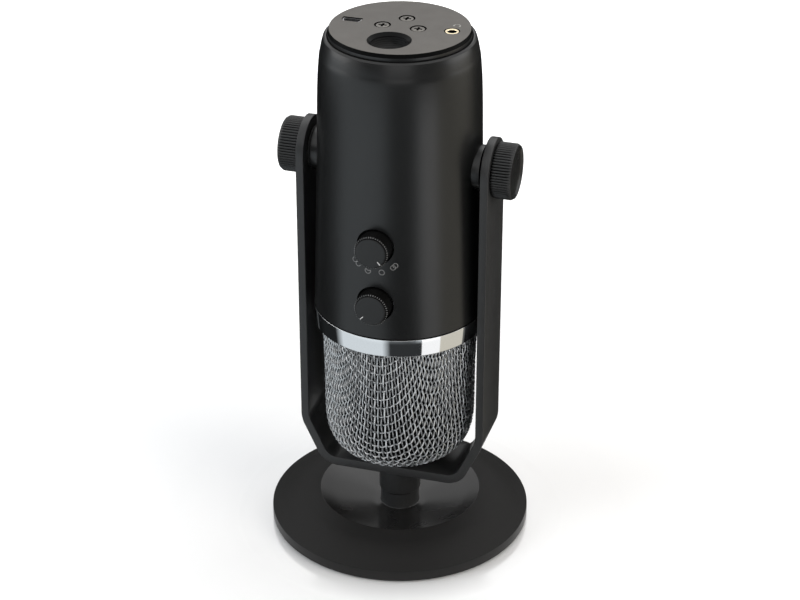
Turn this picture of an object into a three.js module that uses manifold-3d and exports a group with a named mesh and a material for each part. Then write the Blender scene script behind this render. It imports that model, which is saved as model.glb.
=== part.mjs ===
// Desktop microphone that tilts in a U-shaped yoke on a round base.
// Millimetres, +Z up. The origin is the middle of the base's underside, X runs along the tilt axis,
// and the side with the pattern and gain knobs faces -Y. The microphone hangs with its grille down.

import * as THREE from "three";
import { mergeVertices } from "three/addons/utils/BufferGeometryUtils.js";
import Module from "manifold-3d";

// Clearances that several pieces share
const seat_gap = 0.3; // between two pieces that rest on or in each other
const overrun = 2; // how far a cutter passes the face that it opens
const merge_distance = 1e-4; // corners closer than this are one corner

// Facet counts
const shell_sides = 48;
const round_sides = 24;
const small_sides = 12;
const curve_steps = 3;
const dome_steps = 5;
const flare_steps = 2;
const sheet_steps = 20; // along the dome, for the sheet
const fillet_steps = 4;

const quarter_turn = Math.PI / 2;
const third_of_turn = (Math.PI * 2) / 3;

// Base
const base_radius = 56.25;
const base_rim_height = 5.44; // top of the upright side
const base_rim_lift = 0.4; // metal above the surface that the pad rests on
const base_edge_round = 0.6;
const ridge_radius = 35;
const ridge_height = 12.5;
const ridge_round = 0.8;
const dish_floor_radius = 20;
const dish_floor_height = 7.8;
const dish_wall_bow = 0.6; // how far the dish's wall sags below the ridge-to-floor line
const top_bow = 0.7; // how far the sloping top bulges above the rim-to-ridge line
const pedestal_radius = 16;
const neck_radius = 8.4;
const neck_height = 12.7;
const neck_flare = 0.8; // how far above the floor the pedestal turns up

const pad_outer_radius = 52;
const pad_inner_radius = 12;
const pad_thickness = 1.7;

// Bolt that holds base, collar and yoke together
const bolt_radius = 3;
const bolt_head_radius = 5;
const bolt_head_height = 3;
const bolt_socket_radius = 2.9;
const bolt_socket_depth = 1.8;
const bolt_seat_height = 7; // roof of the counterbore under the base
const washer_radius = 6;
const washer_thickness = 1;

const collar_radius = 9;
const collar_length = 13.1;

// Yoke
const arm_thickness = 3.4;
const yoke_floor_thickness = 4;
const yoke_width = 26.5;
const yoke_swing_gap = 3.5; // between the grille's tip and the yoke's floor
const yoke_side_gap = 1.25; // between the trim ring and an arm
const yoke_bend_inset = 10; // how far the sloping corner comes in from an arm's outer face
const yoke_bend_rise = 21.3; // how far the sloping corner climbs
const yoke_foot_round = 7.5;
const yoke_bend_round = 15;
const pivot_clearance = 0.4;

// Housing, measured from the tilt axis
const housing_drop = 65.85; // foot below the axis
const housing_rise = 53.9; // lip above the axis
const housing_foot_radius = 36;
const housing_wall = 2;
const lip_width = 0.65;
// Each point is a share of the length from foot to lip, and a share of the foot's radius.
const housing_outline_share = [
  [0, 0.9975],
  [0.3, 0.971],
  [0.5466, 0.9458],
  [0.8054, 0.9278],
  [0.9157, 0.9056],
  [0.9516, 0.8875],
  [0.978, 0.8695],
  [0.995, 0.8528],
  [1, 0.8319],
];

// End plate, and what its holes hold
const plate_gap = 0.35; // seam between plate and lip
const plate_thickness = 6;
const plate_proud = 3.1; // above the housing's lip
const plate_edge_round = 0.6;

const thread_radius = 7.94;
const thread_chamfer = 0.86;
const thread_margin = 5.05; // metal between the bush and the plate's edge
const bush_wall = 1.16;
const bush_length = 12;
const bush_floor = 1.2;
const bush_flange_width = 1.1;
const bush_flange_thickness = 1.2;

const plate_screw_side = 7.4; // the outer two screws from the middle
const plate_screw_gap = 5.9; // from the bush to the nearer screws' axes
const plate_screw_rise = 9.3; // from the nearer screws to the third
const plate_screw_head_radius = 2.95;
const plate_screw_shank_radius = 1.5;
const plate_screw_head_height = 1.5;
const plate_screw_length = 11.5;
const cross_recess_length = 3.2;
const cross_recess_width = 0.8;
const cross_recess_depth = 1.1;

const usb_margin = 4.2; // from the socket to the plate's edge
const usb_row = 2.35; // sockets' middles from the tilt axis, across the plate
const usb_width = 7.7;
const usb_narrow_width = 6.3;
const usb_height = 3.7;
const usb_shell = 0.5;
const usb_depth = 9.3;
const usb_sink = 0.6; // mouth below the plate's top

const jack_margin = 5.15;
const jack_row = 1.8;
const jack_ring_radius = 2.8;
const jack_ring_gap = 0.4;
const jack_bore_radius = 1.8;
const jack_body_width = 6.4;
const jack_body_length = 11;
const jack_body_floor = 0.8;

const board_thickness = 1.6;
const io_board_inset = 2.95; // from the plate's edge
const io_board_gap = 1.4; // from the bush
const lead_radius = 1.5;
const lead_clearance = 0.6;

// Chassis
const chassis_disc_inset = 1;
const chassis_disc_thickness = 2.4;
const chassis_foot_thickness = 2.5;
const chassis_foot_hole_radius = 12;
const post_height = 10.7;
const post_radius = 3.2;
const post_shoulder_width = 1.4;
const rail_inset = 3.9; // rail's outer face from the housing's narrowest inside
const rail_thickness = 4;
const rail_clearance = 0.9;
const main_board_rise = 9; // above the chassis foot
const main_board_headroom = 1.6; // below the chassis disc
const main_chip_size = 10;
const main_chip_height = 1.4;
const capacitor_radius = 2.5;
const capacitor_height = 7;
const board_screw_head_radius = 1.9;
const board_screw_head_height = 1.1;
const board_screw_radius = 0.8;
const board_screw_length = 6;
const board_screw_margin = 3.2; // from the board's end
const control_board_margin = 12; // above the upper knob

// Controls
const gain_knob_rise = 15.75; // axis above the housing's foot
const knob_spacing = 25.8;
const knob_radius = 7.15;
const knob_face_radius = 6.2;
const knob_chamfer_height = 0.9;
const knob_proud = 5.2;
const knob_length = 8;
const knob_bore_depth = 5;
const knob_hole_gap = 0.75;
const shaft_radius = 3;
const pot_width = 12;
const pot_depth = 8;
const pot_bore_depth = 5;
const mute_radius = 4.2;
const mute_proud = 1.3;
const mute_travel = 0.8;
const mute_hole_gap = 0.35;
const mute_flange_width = 1;
const mute_flange_thickness = 1;
const mute_stem_radius = 1.8;
const mute_edge_round = 0.5;
const switch_width = 6;
const switch_depth = 4.5;

// Trim ring and bulkhead
const ring_height = 6.75;
const ring_proud = 0.1; // beyond the housing's foot
const ring_wall = 2.2;
const ring_bead_height = 0.5;
const ring_bead_depth = 0.2;
const bulkhead_lap = 2.15; // how far the rim reaches up into the housing
const bulkhead_thickness = 2.2;
const bulkhead_rim_wall = 2;

// Grille, its foam and the capsules
const grille_length = 65.3; // from the trim ring to the tip
const grille_thickness = 1.2;
const grille_taper = 1.2; // from the collar's radius to the side's
const grille_collar_height = 4;
const dome_depth = 27.9;
const dome_squareness = 3.5; // power of the rounded corner's curve
const flare_power = 3;
const wire_ridge_height = 0.5; // the grille's main wires, as ridges on a closed sheet
const wire_ridge_width = 1.6;
const wire_ridge_spacing = 11; // of the ring wires, along the outline
const upright_wire_count = 18;
const liner_gap = 0.6; // from the sheet to the foam
const liner_thickness = 2;
const isolator_thickness = 2.6;
const isolator_lap = 1; // beyond the cradle
const isolator_bore_radius = 5;
const cradle_radius = 15;
const cradle_length = 38;
const capsule_radius = 7;
const capsule_thickness = 6.5;
const capsule_seat_radius = 7.8; // a capsule's back from the cradle's axis
const capsule_rise = 11; // capsules' axes above the cradle's lower end
const capsule_count = 3;

// Tilt screws
const boss_radius = 9.5;
const friction_washer_inset = 0.2;
const friction_washer_thickness = 0.8;
const stud_radius = 3;
const stud_end_inset = 0.6;
const thumb_knob_radius = 11.6;
const thumb_knob_length = 8.35;
const thumb_chamfer_length = 1.1;
const thumb_chamfer_depth = 0.7;
const thumb_rim_width = 0.7;
const thumb_dish_depth = 0.8;
const thumb_bore_depth = 5.25;
const thumb_ridge_count = 60;
const thumb_ridge_depth = 0.4;

// Heights in the stand
const pad_recess_height = pad_thickness + seat_gap;
const collar_foot = neck_height + seat_gap;
const yoke_foot = collar_foot + collar_length + seat_gap;
const yoke_floor_top = yoke_foot + yoke_floor_thickness;

// Heights in the microphone, from the tilt axis
const housing_foot = -housing_drop;
const housing_length = housing_drop + housing_rise;
const plate_top = housing_rise + plate_proud;
const plate_bottom = plate_top - plate_thickness;
const ring_top = housing_foot - seat_gap;
const ring_bottom = ring_top - ring_height;
const grille_top = ring_bottom - seat_gap;
const grille_tip = grille_top - grille_length;
const dome_top = grille_tip + dome_depth;
const grille_collar_top = grille_top + grille_collar_height;
const bulkhead_shelf = grille_collar_top + seat_gap;
const bulkhead_top = housing_foot + bulkhead_lap;
const chassis_foot_bottom = bulkhead_top + seat_gap;
const chassis_foot_top = chassis_foot_bottom + chassis_foot_thickness;
const post_top = plate_bottom - seat_gap;
const chassis_disc_top = post_top - post_height;
const chassis_disc_bottom = chassis_disc_top - chassis_disc_thickness;
const usb_bottom = plate_top - usb_sink - usb_depth;
const io_board_top = usb_bottom - seat_gap;
const io_board_bottom = io_board_top - board_thickness;
const main_board_bottom = chassis_foot_top + main_board_rise;
const main_board_top = chassis_disc_bottom - main_board_headroom;
const gain_height = housing_foot + gain_knob_rise;
const pattern_height = gain_height + knob_spacing;
const control_board_bottom = chassis_foot_top + seat_gap;
const control_board_top = pattern_height + control_board_margin;
const isolator_top = bulkhead_shelf - seat_gap;
const isolator_bottom = isolator_top - isolator_thickness;
const cradle_top = isolator_bottom - seat_gap;
const cradle_bottom = cradle_top - cradle_length;
const pivot_height = yoke_floor_top + yoke_swing_gap - grille_tip;

// Widths in the microphone
const lip_radius = housing_foot_radius * housing_outline_share.at(-1)[1];
const mouth_radius = lip_radius - lip_width;
const plate_radius = mouth_radius - plate_gap;
const ring_radius = housing_foot_radius + ring_proud;
const ring_inner_radius = ring_radius - ring_wall;
const grille_collar_radius = ring_inner_radius - seat_gap;
const grille_side_radius = grille_collar_radius - grille_taper;
const bush_radius = thread_radius + bush_wall;
const bush_flange_radius = bush_radius + bush_flange_width;
const thread_offset = plate_radius - thread_margin - bush_radius - seat_gap;
const plate_screw_near = bush_radius + plate_screw_gap - thread_offset;
const usb_offset = plate_radius - usb_margin - usb_width / 2;
const jack_offset = plate_radius - jack_margin - jack_ring_radius;
const chassis_reach = housing_inner_radius_at(chassis_disc_top);
const rail_outer = chassis_reach - rail_inset;
const rail_inner = rail_outer - rail_thickness;
const rail_middle = (rail_outer + rail_inner) / 2;
const rail_half_width = Math.sqrt((chassis_reach - rail_clearance) ** 2 - rail_outer ** 2);
const control_board_inside = rail_half_width + seat_gap;
const control_board_outside = control_board_inside + board_thickness;
const pot_back = control_board_outside + seat_gap;
const pot_front = pot_back + pot_depth;
const arm_inner = ring_radius + yoke_side_gap;
const arm_outer = arm_inner + arm_thickness;
const washer_outer = arm_inner - seat_gap;
const washer_inner = washer_outer - friction_washer_thickness;
const boss_outer = washer_inner - seat_gap;
const boss_inner = rail_outer + seat_gap;
const thumb_foot = arm_outer + seat_gap;
const thumb_tip = thumb_foot + thumb_knob_length;

const plate_screw_places = [
  [-plate_screw_side, plate_screw_near],
  [0, plate_screw_near + plate_screw_rise],
  [plate_screw_side, plate_screw_near],
];

// Radius of the housing's outside at a height from the tilt axis
function housing_radius_at(height) {
  const share = (height - housing_foot) / housing_length;
  const above = Math.max(1, housing_outline_share.findIndex((point) => point[0] >= share));
  const [low_share, low_radius] = housing_outline_share[above - 1];
  const [high_share, high_radius] = housing_outline_share[above];
  const along = (share - low_share) / (high_share - low_share);
  return housing_foot_radius * (low_radius + (high_radius - low_radius) * along);
}

function housing_inner_radius_at(height) {
  return Math.max(housing_radius_at(height) - housing_wall, mouth_radius);
}

// One closed geometry: shared corners merged, empty triangles dropped, faces pointing out
function closed(geometry) {
  const bare = geometry.clone();
  bare.deleteAttribute("normal");
  bare.deleteAttribute("uv");
  const merged = mergeVertices(bare, merge_distance);
  const places = merged.getAttribute("position");
  const corner = (number) => new THREE.Vector3().fromBufferAttribute(places, number);
  const triangles = [];
  let volume = 0;
  for (let start = 0; start < merged.index.count; start += 3) {
    const [a, b, c] = merged.index.array.slice(start, start + 3);
    if (a !== b && b !== c && c !== a) {
      triangles.push([a, b, c]);
      volume += corner(a).dot(corner(b).cross(corner(c)));
    }
  }
  const facing_out = volume < 0 ? triangles.map(([a, b, c]) => [a, c, b]) : triangles;
  merged.setIndex(facing_out.flat());
  return merged;
}

function to_solid(geometry) {
  const whole = closed(geometry);
  const mesh = new wasm.Mesh({
    numProp: 3,
    vertProperties: new Float32Array(whole.getAttribute("position").array),
    triVerts: new Uint32Array(whole.index.array),
  });
  return new wasm.Manifold(mesh);
}

function to_geometry(solid) {
  const mesh = solid.getMesh();
  const geometry = new THREE.BufferGeometry();
  geometry.setAttribute("position", new THREE.BufferAttribute(new Float32Array(mesh.vertProperties), 3));
  geometry.setIndex(new THREE.BufferAttribute(new Uint32Array(mesh.triVerts), 1));
  return geometry;
}

function cut(body, ...cutters) {
  return to_geometry(cutters.reduce((left, cutter) => left.subtract(to_solid(cutter)), to_solid(body)));
}

function join(...parts) {
  return to_geometry(parts.map(to_solid).reduce((whole, part) => whole.add(part)));
}

function common(first, second) {
  return to_geometry(to_solid(first).intersect(to_solid(second)));
}

// Solid between rings of as many corners each, of which the first and the last close to a point
function skinned(rings) {
  const count = rings[0].length;
  const triangles = [];
  for (let ring = 0; ring < rings.length - 1; ring += 1) {
    for (let side = 0; side < count; side += 1) {
      const next = (side + 1) % count;
      const [a, b] = [ring * count + side, ring * count + next];
      triangles.push(a, b, b + count, a, b + count, a + count);
    }
  }
  const geometry = new THREE.BufferGeometry();
  geometry.setAttribute("position", new THREE.Float32BufferAttribute(rings.flat(2), 3));
  geometry.setIndex(triangles);
  return geometry;
}

// Solid of revolution about Z, from radius and height pairs that start and end on the axis
function turned(profile, sides) {
  const points = profile.map(([radius, height]) => new THREE.Vector2(radius, height));
  return new THREE.LatheGeometry(points, sides).rotateX(quarter_turn);
}

// The same for a profile that goes round a hole
function turned_ring(profile, sides) {
  return turned([...profile, profile[0]], sides);
}

function rod(radius, low, high, sides) {
  return turned([[0, low], [radius, low], [radius, high], [0, high]], sides);
}

function tube(outer, inner, low, high, sides) {
  return turned_ring([[inner, low], [outer, low], [outer, high], [inner, high]], sides);
}

function block(width, depth, height) {
  return new THREE.BoxGeometry(width, depth, height);
}

// Outline in X and Y, raised along Z from the ground
function prism(outline, height) {
  const shape = new THREE.Shape(outline.map(([x, y]) => new THREE.Vector2(x, y)));
  return new THREE.ExtrudeGeometry(shape, { depth: height, bevelEnabled: false });
}

// Turns what was made along +Z to point along another axis
const along_x = (geometry) => geometry.rotateY(quarter_turn);
const along_minus_x = (geometry) => geometry.rotateY(-quarter_turn);
const along_y = (geometry) => geometry.rotateX(-quarter_turn);
const along_minus_y = (geometry) => geometry.rotateX(quarter_turn);

// Points of a curve from start to end, bowed towards a third point, without the start
function bowed(start, pull, end) {
  const curve = new THREE.QuadraticBezierCurve(
    new THREE.Vector2(...start),
    new THREE.Vector2(...pull),
    new THREE.Vector2(...end),
  );
  return curve.getPoints(curve_steps).slice(1).map((point) => [point.x, point.y]);
}

// Outline with each corner given as x, y and the radius that rounds it
function filleted(corners) {
  const outline = [];
  corners.forEach(([x, y, radius], number) => {
    if (radius === 0) {
      outline.push([x, y]);
      return;
    }
    const corner = new THREE.Vector2(x, y);
    const previous = corners.at(number - 1);
    const next = corners[(number + 1) % corners.length];
    const back = new THREE.Vector2(previous[0], previous[1]).sub(corner).normalize();
    const ahead = new THREE.Vector2(next[0], next[1]).sub(corner).normalize();
    const half_angle = Math.acos(back.dot(ahead)) / 2;
    const inward = back.clone().add(ahead).normalize();
    const centre = corner.clone().addScaledVector(inward, radius / Math.sin(half_angle));
    const first = corner.clone().addScaledVector(back, radius / Math.tan(half_angle)).sub(centre);
    const last = corner.clone().addScaledVector(ahead, radius / Math.tan(half_angle)).sub(centre);
    const sweep = Math.atan2(first.cross(last), first.dot(last));
    for (let step = 0; step <= fillet_steps; step += 1) {
      const spoke = first.clone().rotateAround(new THREE.Vector2(), (sweep * step) / fillet_steps);
      outline.push([centre.x + spoke.x, centre.y + spoke.y]);
    }
  });
  return outline;
}

// Stand

function base_plate() {
  const rim_top = base_rim_height - base_edge_round;
  const rim_shoulder = [base_radius - base_edge_round, base_rim_height];
  const ridge_outside = [ridge_radius + ridge_round, ridge_height - ridge_round / 2];
  const ridge_inside = [ridge_radius - ridge_round, ridge_height - ridge_round / 2];
  const halfway = (base_radius + ridge_radius) / 2;
  const top_pull = [halfway, (base_rim_height + ridge_height) / 2 + top_bow * 2];
  const wall_middle = (ridge_radius + dish_floor_radius) / 2;
  const wall_pull = [wall_middle, (ridge_height + dish_floor_height) / 2 - dish_wall_bow * 2];
  const bore = bolt_radius + seat_gap;
  const counterbore = washer_radius + seat_gap;
  const recess = pad_outer_radius + seat_gap;
  return turned_ring([
    [bore, bolt_seat_height],
    [counterbore, bolt_seat_height],
    [counterbore, pad_recess_height],
    [recess, pad_recess_height],
    [recess, base_rim_lift],
    [base_radius - base_edge_round, base_rim_lift],
    [base_radius, base_rim_lift + base_edge_round],
    [base_radius, rim_top],
    rim_shoulder,
    ...bowed(rim_shoulder, top_pull, ridge_outside),
    [ridge_radius, ridge_height],
    ridge_inside,
    ...bowed(ridge_inside, wall_pull, [dish_floor_radius, dish_floor_height]),
    [pedestal_radius, dish_floor_height],
    ...bowed(
      [pedestal_radius, dish_floor_height],
      [neck_radius, dish_floor_height + neck_flare],
      [neck_radius, neck_height],
    ),
    [bore, neck_height],
  ], shell_sides);
}

function foot_pad() {
  return tube(pad_outer_radius, pad_inner_radius, 0, pad_thickness, shell_sides);
}

function bolt_washer() {
  const top = bolt_seat_height - seat_gap;
  return tube(washer_radius, bolt_radius + seat_gap, top - washer_thickness, top, small_sides);
}

function base_bolt() {
  const head_top = bolt_seat_height - seat_gap - washer_thickness - seat_gap;
  const head_bottom = head_top - bolt_head_height;
  return turned([
    [0, head_bottom + bolt_socket_depth],
    [bolt_socket_radius, head_bottom + bolt_socket_depth],
    [bolt_socket_radius, head_bottom],
    [bolt_head_radius, head_bottom],
    [bolt_head_radius, head_top],
    [bolt_radius, head_top],
    [bolt_radius, yoke_floor_top - seat_gap],
    [0, yoke_floor_top - seat_gap],
  ], small_sides);
}

function stem_collar() {
  const bore = bolt_radius + seat_gap;
  return tube(collar_radius, bore, collar_foot, collar_foot + collar_length, round_sides);
}

// U of even bar with sloping corners, cut to round arm heads
function yoke() {
  const crown = pivot_height + yoke_width / 2;
  const foot_half = arm_outer - yoke_bend_inset;
  const slope = Math.atan2(yoke_bend_inset, yoke_bend_rise);
  const slope_thickness = (arm_thickness + yoke_floor_thickness) / 2;
  const slope_x = foot_half - slope_thickness * Math.cos(slope);
  const slope_z = yoke_foot + slope_thickness * Math.sin(slope);
  const inner_bend = slope_z + (arm_inner - slope_x) / Math.tan(slope);
  const inner_foot = slope_x + (yoke_floor_top - slope_z) * Math.tan(slope);
  const right_half = [
    [inner_foot, yoke_floor_top, yoke_foot_round - slope_thickness],
    [arm_inner, inner_bend, yoke_bend_round - slope_thickness],
    [arm_inner, crown, 0],
    [arm_outer, crown, 0],
    [arm_outer, yoke_foot + yoke_bend_rise, yoke_bend_round],
    [foot_half, yoke_foot, yoke_foot_round],
  ];
  const left_half = right_half.toReversed().map(([x, z, radius]) => [-x, z, radius]);
  const bar = along_minus_y(prism(filleted([...right_half, ...left_half]), yoke_width));
  bar.translate(0, yoke_width / 2, 0);

  const head = [];
  for (let step = 0; step <= round_sides / 2; step += 1) {
    const angle = (Math.PI * step * 2) / round_sides;
    head.push([(Math.cos(angle) * yoke_width) / 2, pivot_height + (Math.sin(angle) * yoke_width) / 2]);
  }
  const reach = arm_outer + overrun;
  const side = [[-yoke_width / 2, yoke_foot - overrun], [yoke_width / 2, yoke_foot - overrun], ...head];
  const outline = prism(side, reach * 2).rotateX(quarter_turn).rotateZ(quarter_turn);
  outline.translate(-reach, 0, 0);

  const pivot_hole = along_x(rod(stud_radius + pivot_clearance, -reach, reach, small_sides));
  pivot_hole.translate(0, 0, pivot_height);
  const bolt_hole = rod(bolt_radius + seat_gap, yoke_foot - overrun, yoke_floor_top + overrun, small_sides);
  return cut(common(bar, outline), pivot_hole, bolt_hole);
}

// Microphone shells

function housing() {
  const outside = housing_outline_share.map(([height_share, radius_share]) => [
    housing_foot_radius * radius_share,
    housing_foot + housing_length * height_share,
  ]);
  const inside = outside.slice(1, -1).filter(([radius]) => radius - housing_wall > mouth_radius)
    .map(([radius, height]) => [radius - housing_wall, height]);
  const throat = [mouth_radius, outside.at(-3)[1]];
  const shell = turned_ring([
    [housing_foot_radius - housing_wall, housing_foot],
    ...outside,
    [mouth_radius, housing_rise],
    throat,
    ...inside.toReversed(),
  ], shell_sides);

  const reach = housing_foot_radius + overrun;
  const boss_hole = along_x(rod(boss_radius + seat_gap, -reach, reach, round_sides));
  const knob_hole = () => rod(knob_radius + knob_hole_gap, rail_outer / 2, reach, round_sides);
  const mute_hole = along_y(rod(mute_radius + mute_hole_gap, rail_outer / 2, reach, small_sides));
  return cut(
    shell,
    boss_hole,
    along_minus_y(knob_hole()).translate(0, 0, pattern_height),
    along_minus_y(knob_hole()).translate(0, 0, gain_height),
    along_y(knob_hole()).translate(0, 0, pattern_height),
    mute_hole.translate(0, 0, gain_height),
  );
}

// Socket outline with one long side narrower, grown by a margin all round
function usb_outline(margin) {
  const half = usb_width / 2 + margin;
  const narrow_half = usb_narrow_width / 2 + margin;
  const half_height = usb_height / 2 + margin;
  return [[-narrow_half, -half_height], [narrow_half, -half_height], [half, 0], [half, half_height],
    [-half, half_height], [-half, 0]];
}

function end_plate() {
  const disc = turned([
    [0, plate_bottom],
    [plate_radius, plate_bottom],
    [plate_radius, plate_top - plate_edge_round],
    [plate_radius - plate_edge_round, plate_top],
    [0, plate_top],
  ], shell_sides);
  const below = plate_bottom - overrun;
  const above = plate_top + overrun;
  const bush_hole = rod(bush_radius + seat_gap, below, above, round_sides);
  const usb_hole = prism(usb_outline(seat_gap), above - below).translate(-usb_offset, usb_row, below);
  const jack_hole = rod(jack_ring_radius + jack_ring_gap, below, above, small_sides);
  const screw_holes = plate_screw_places.map(([x, y]) =>
    screw_profile(seat_gap, below, above).translate(x, y, 0));
  return cut(
    disc,
    bush_hole.translate(0, -thread_offset, 0),
    usb_hole,
    jack_hole.translate(jack_offset, jack_row, 0),
    ...screw_holes,
  );
}

// Countersunk screw's outline, grown by a margin, from a low end to a high end
function screw_profile(margin, low, high) {
  const cone_foot = plate_top - plate_screw_head_height;
  return turned([
    [0, low],
    [plate_screw_shank_radius + margin, low],
    [plate_screw_shank_radius + margin, cone_foot - margin],
    [plate_screw_head_radius + margin, plate_top - margin],
    [plate_screw_head_radius + margin, high],
    [0, high],
  ], small_sides);
}

function plate_screw() {
  const low = plate_top - plate_screw_length;
  const shank = screw_profile(0, low, plate_top);
  const slot_middle = plate_top + overrun - (cross_recess_depth + overrun) / 2;
  const slot = block(cross_recess_length, cross_recess_width, cross_recess_depth + overrun);
  const cross = slot.clone().rotateZ(quarter_turn);
  return cut(shank, slot.translate(0, 0, slot_middle), cross.translate(0, 0, slot_middle));
}

// Cup with a flange under the plate; the stand's screw goes in from above
function stand_thread_bush() {
  const bottom = plate_top - bush_length;
  const flange_top = plate_bottom - seat_gap;
  return turned([
    [0, bottom],
    [bush_radius, bottom],
    [bush_radius, flange_top - bush_flange_thickness],
    [bush_flange_radius, flange_top - bush_flange_thickness],
    [bush_flange_radius, flange_top],
    [bush_radius, flange_top],
    [bush_radius, plate_top],
    [thread_radius + thread_chamfer, plate_top],
    [thread_radius, plate_top - thread_chamfer],
    [thread_radius, bottom + bush_floor],
    [0, bottom + bush_floor],
  ], round_sides);
}

function usb_socket() {
  const shell = prism(usb_outline(0), usb_depth);
  const mouth = prism(usb_outline(-usb_shell), usb_depth).translate(0, 0, usb_shell);
  return cut(shell, mouth).translate(0, 0, usb_bottom);
}

function headphone_jack() {
  const bottom = io_board_top + seat_gap;
  const top = plate_bottom - seat_gap;
  const body = block(jack_body_width, jack_body_length, top - bottom);
  body.translate(0, 0, (top + bottom) / 2);
  return cut(body, rod(jack_bore_radius, bottom + jack_body_floor, top + overrun, small_sides));
}

function jack_barrel() {
  return tube(jack_ring_radius, jack_bore_radius, plate_bottom, plate_top, round_sides);
}

function trim_ring() {
  const outer = ring_radius;
  const band = ring_radius - ring_bead_depth;
  return turned_ring([
    [ring_inner_radius, ring_bottom],
    [outer, ring_bottom],
    [outer, ring_bottom + ring_bead_height],
    [band, ring_bottom + ring_bead_height],
    [band, ring_top - ring_bead_height],
    [outer, ring_top - ring_bead_height],
    [outer, ring_top],
    [ring_inner_radius, ring_top],
  ], shell_sides);
}

// Outside of the grille at an inset, from the tip up to a height at or below the trim ring
function grille_outline(inset, top, steps) {
  const points = [];
  for (let step = 0; step <= steps; step += 1) {
    const angle = (quarter_turn * step) / steps;
    const out = step === steps ? 1 : Math.sin(angle) ** (2 / dome_squareness);
    const down = step === steps ? 0 : Math.cos(angle) ** (2 / dome_squareness);
    points.push([(grille_side_radius - inset) * out, dome_top - (dome_depth - inset) * down]);
  }
  for (let step = 1; step <= flare_steps; step += 1) {
    const height = dome_top + ((top - dome_top) * step) / flare_steps;
    const share = (height - dome_top) / (grille_top - dome_top);
    points.push([grille_side_radius + grille_taper * share ** flare_power - inset, height]);
  }
  return points;
}

// Curve from the grille's tip to the top of its collar, at an inset
function grille_curve(inset) {
  const points = [
    ...grille_outline(inset, grille_top, sheet_steps),
    [grille_collar_radius - inset, grille_collar_top],
  ];
  return new THREE.SplineCurve(points.map(([radius, height]) => new THREE.Vector2(radius, height)));
}

// Rows of the sheet, each with its distance from the tip along the outline. Ring wires are ridges.
function sheet_rows(length) {
  const half = wire_ridge_width / 2;
  const rows = [{ distance: 0, ridge: true }];
  for (let ring = wire_ridge_spacing; ring < length - grille_collar_height; ring += wire_ridge_spacing) {
    rows.push(
      { distance: ring - wire_ridge_spacing / 2, ridge: false },
      { distance: ring - half, ridge: false },
      { distance: ring, ridge: true },
      { distance: ring + half, ridge: false },
    );
  }
  rows.push({ distance: length, ridge: false });
  return rows;
}

// The same round the axis, as angles at a radius. Upright wires are ridges.
function sheet_columns(radius) {
  const pitch = (Math.PI * 2) / upright_wire_count;
  const half = Math.min(wire_ridge_width / 2 / radius, pitch / 4);
  const columns = [];
  for (let number = 0; number < upright_wire_count; number += 1) {
    const turn = number * pitch;
    columns.push(
      { turn, ridge: true },
      { turn: turn + half, ridge: false },
      { turn: turn + pitch / 2, ridge: false },
      { turn: turn + pitch - half, ridge: false },
    );
  }
  return columns;
}

// Closed sheet in the grille's shape, with the main wires of its mesh as ridges
function grille() {
  const outside = grille_curve(0);
  const inside = grille_curve(grille_thickness);
  const length = outside.getLength();
  const ground_share = wire_ridge_height / grille_thickness;
  const turned_to = ({ turn }, { x, y }) => [x * Math.cos(turn), x * Math.sin(turn), y];
  const front = sheet_rows(length).map((row) => {
    const along = outside.getUtoTmapping(row.distance / length);
    const crest = outside.getPoint(along);
    const ground = crest.clone().lerp(inside.getPoint(along), ground_share);
    return sheet_columns(crest.x).map((column) =>
      turned_to(column, row.ridge || column.ridge ? crest : ground));
  });
  const back = [];
  const back_steps = Math.round((2 * length) / wire_ridge_spacing);
  for (let step = back_steps; step >= 0; step -= 1) {
    const place = inside.getPoint(outside.getUtoTmapping(step / back_steps));
    back.push(sheet_columns(place.x).map((column) => turned_to(column, place)));
  }
  return skinned([...front, ...back]);
}

function grille_liner() {
  const outside = grille_thickness + liner_gap;
  const top = ring_bottom - seat_gap;
  return turned([
    ...grille_outline(outside, top, dome_steps),
    ...grille_outline(outside + liner_thickness, top, dome_steps).toReversed(),
  ], round_sides);
}

function bulkhead() {
  const bore = lead_radius + lead_clearance;
  const rim = grille_collar_radius;
  const skirt = grille_collar_radius - grille_thickness - seat_gap;
  return turned_ring([
    [bore, bulkhead_shelf],
    [skirt - bulkhead_rim_wall, bulkhead_shelf],
    [skirt - bulkhead_rim_wall, ring_bottom],
    [skirt, ring_bottom],
    [skirt, bulkhead_shelf],
    [rim, bulkhead_shelf],
    [rim, bulkhead_top],
    [rim - bulkhead_rim_wall, bulkhead_top],
    [rim - bulkhead_rim_wall, bulkhead_shelf + bulkhead_thickness],
    [bore, bulkhead_shelf + bulkhead_thickness],
  ], round_sides);
}

// Chassis and boards

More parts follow.
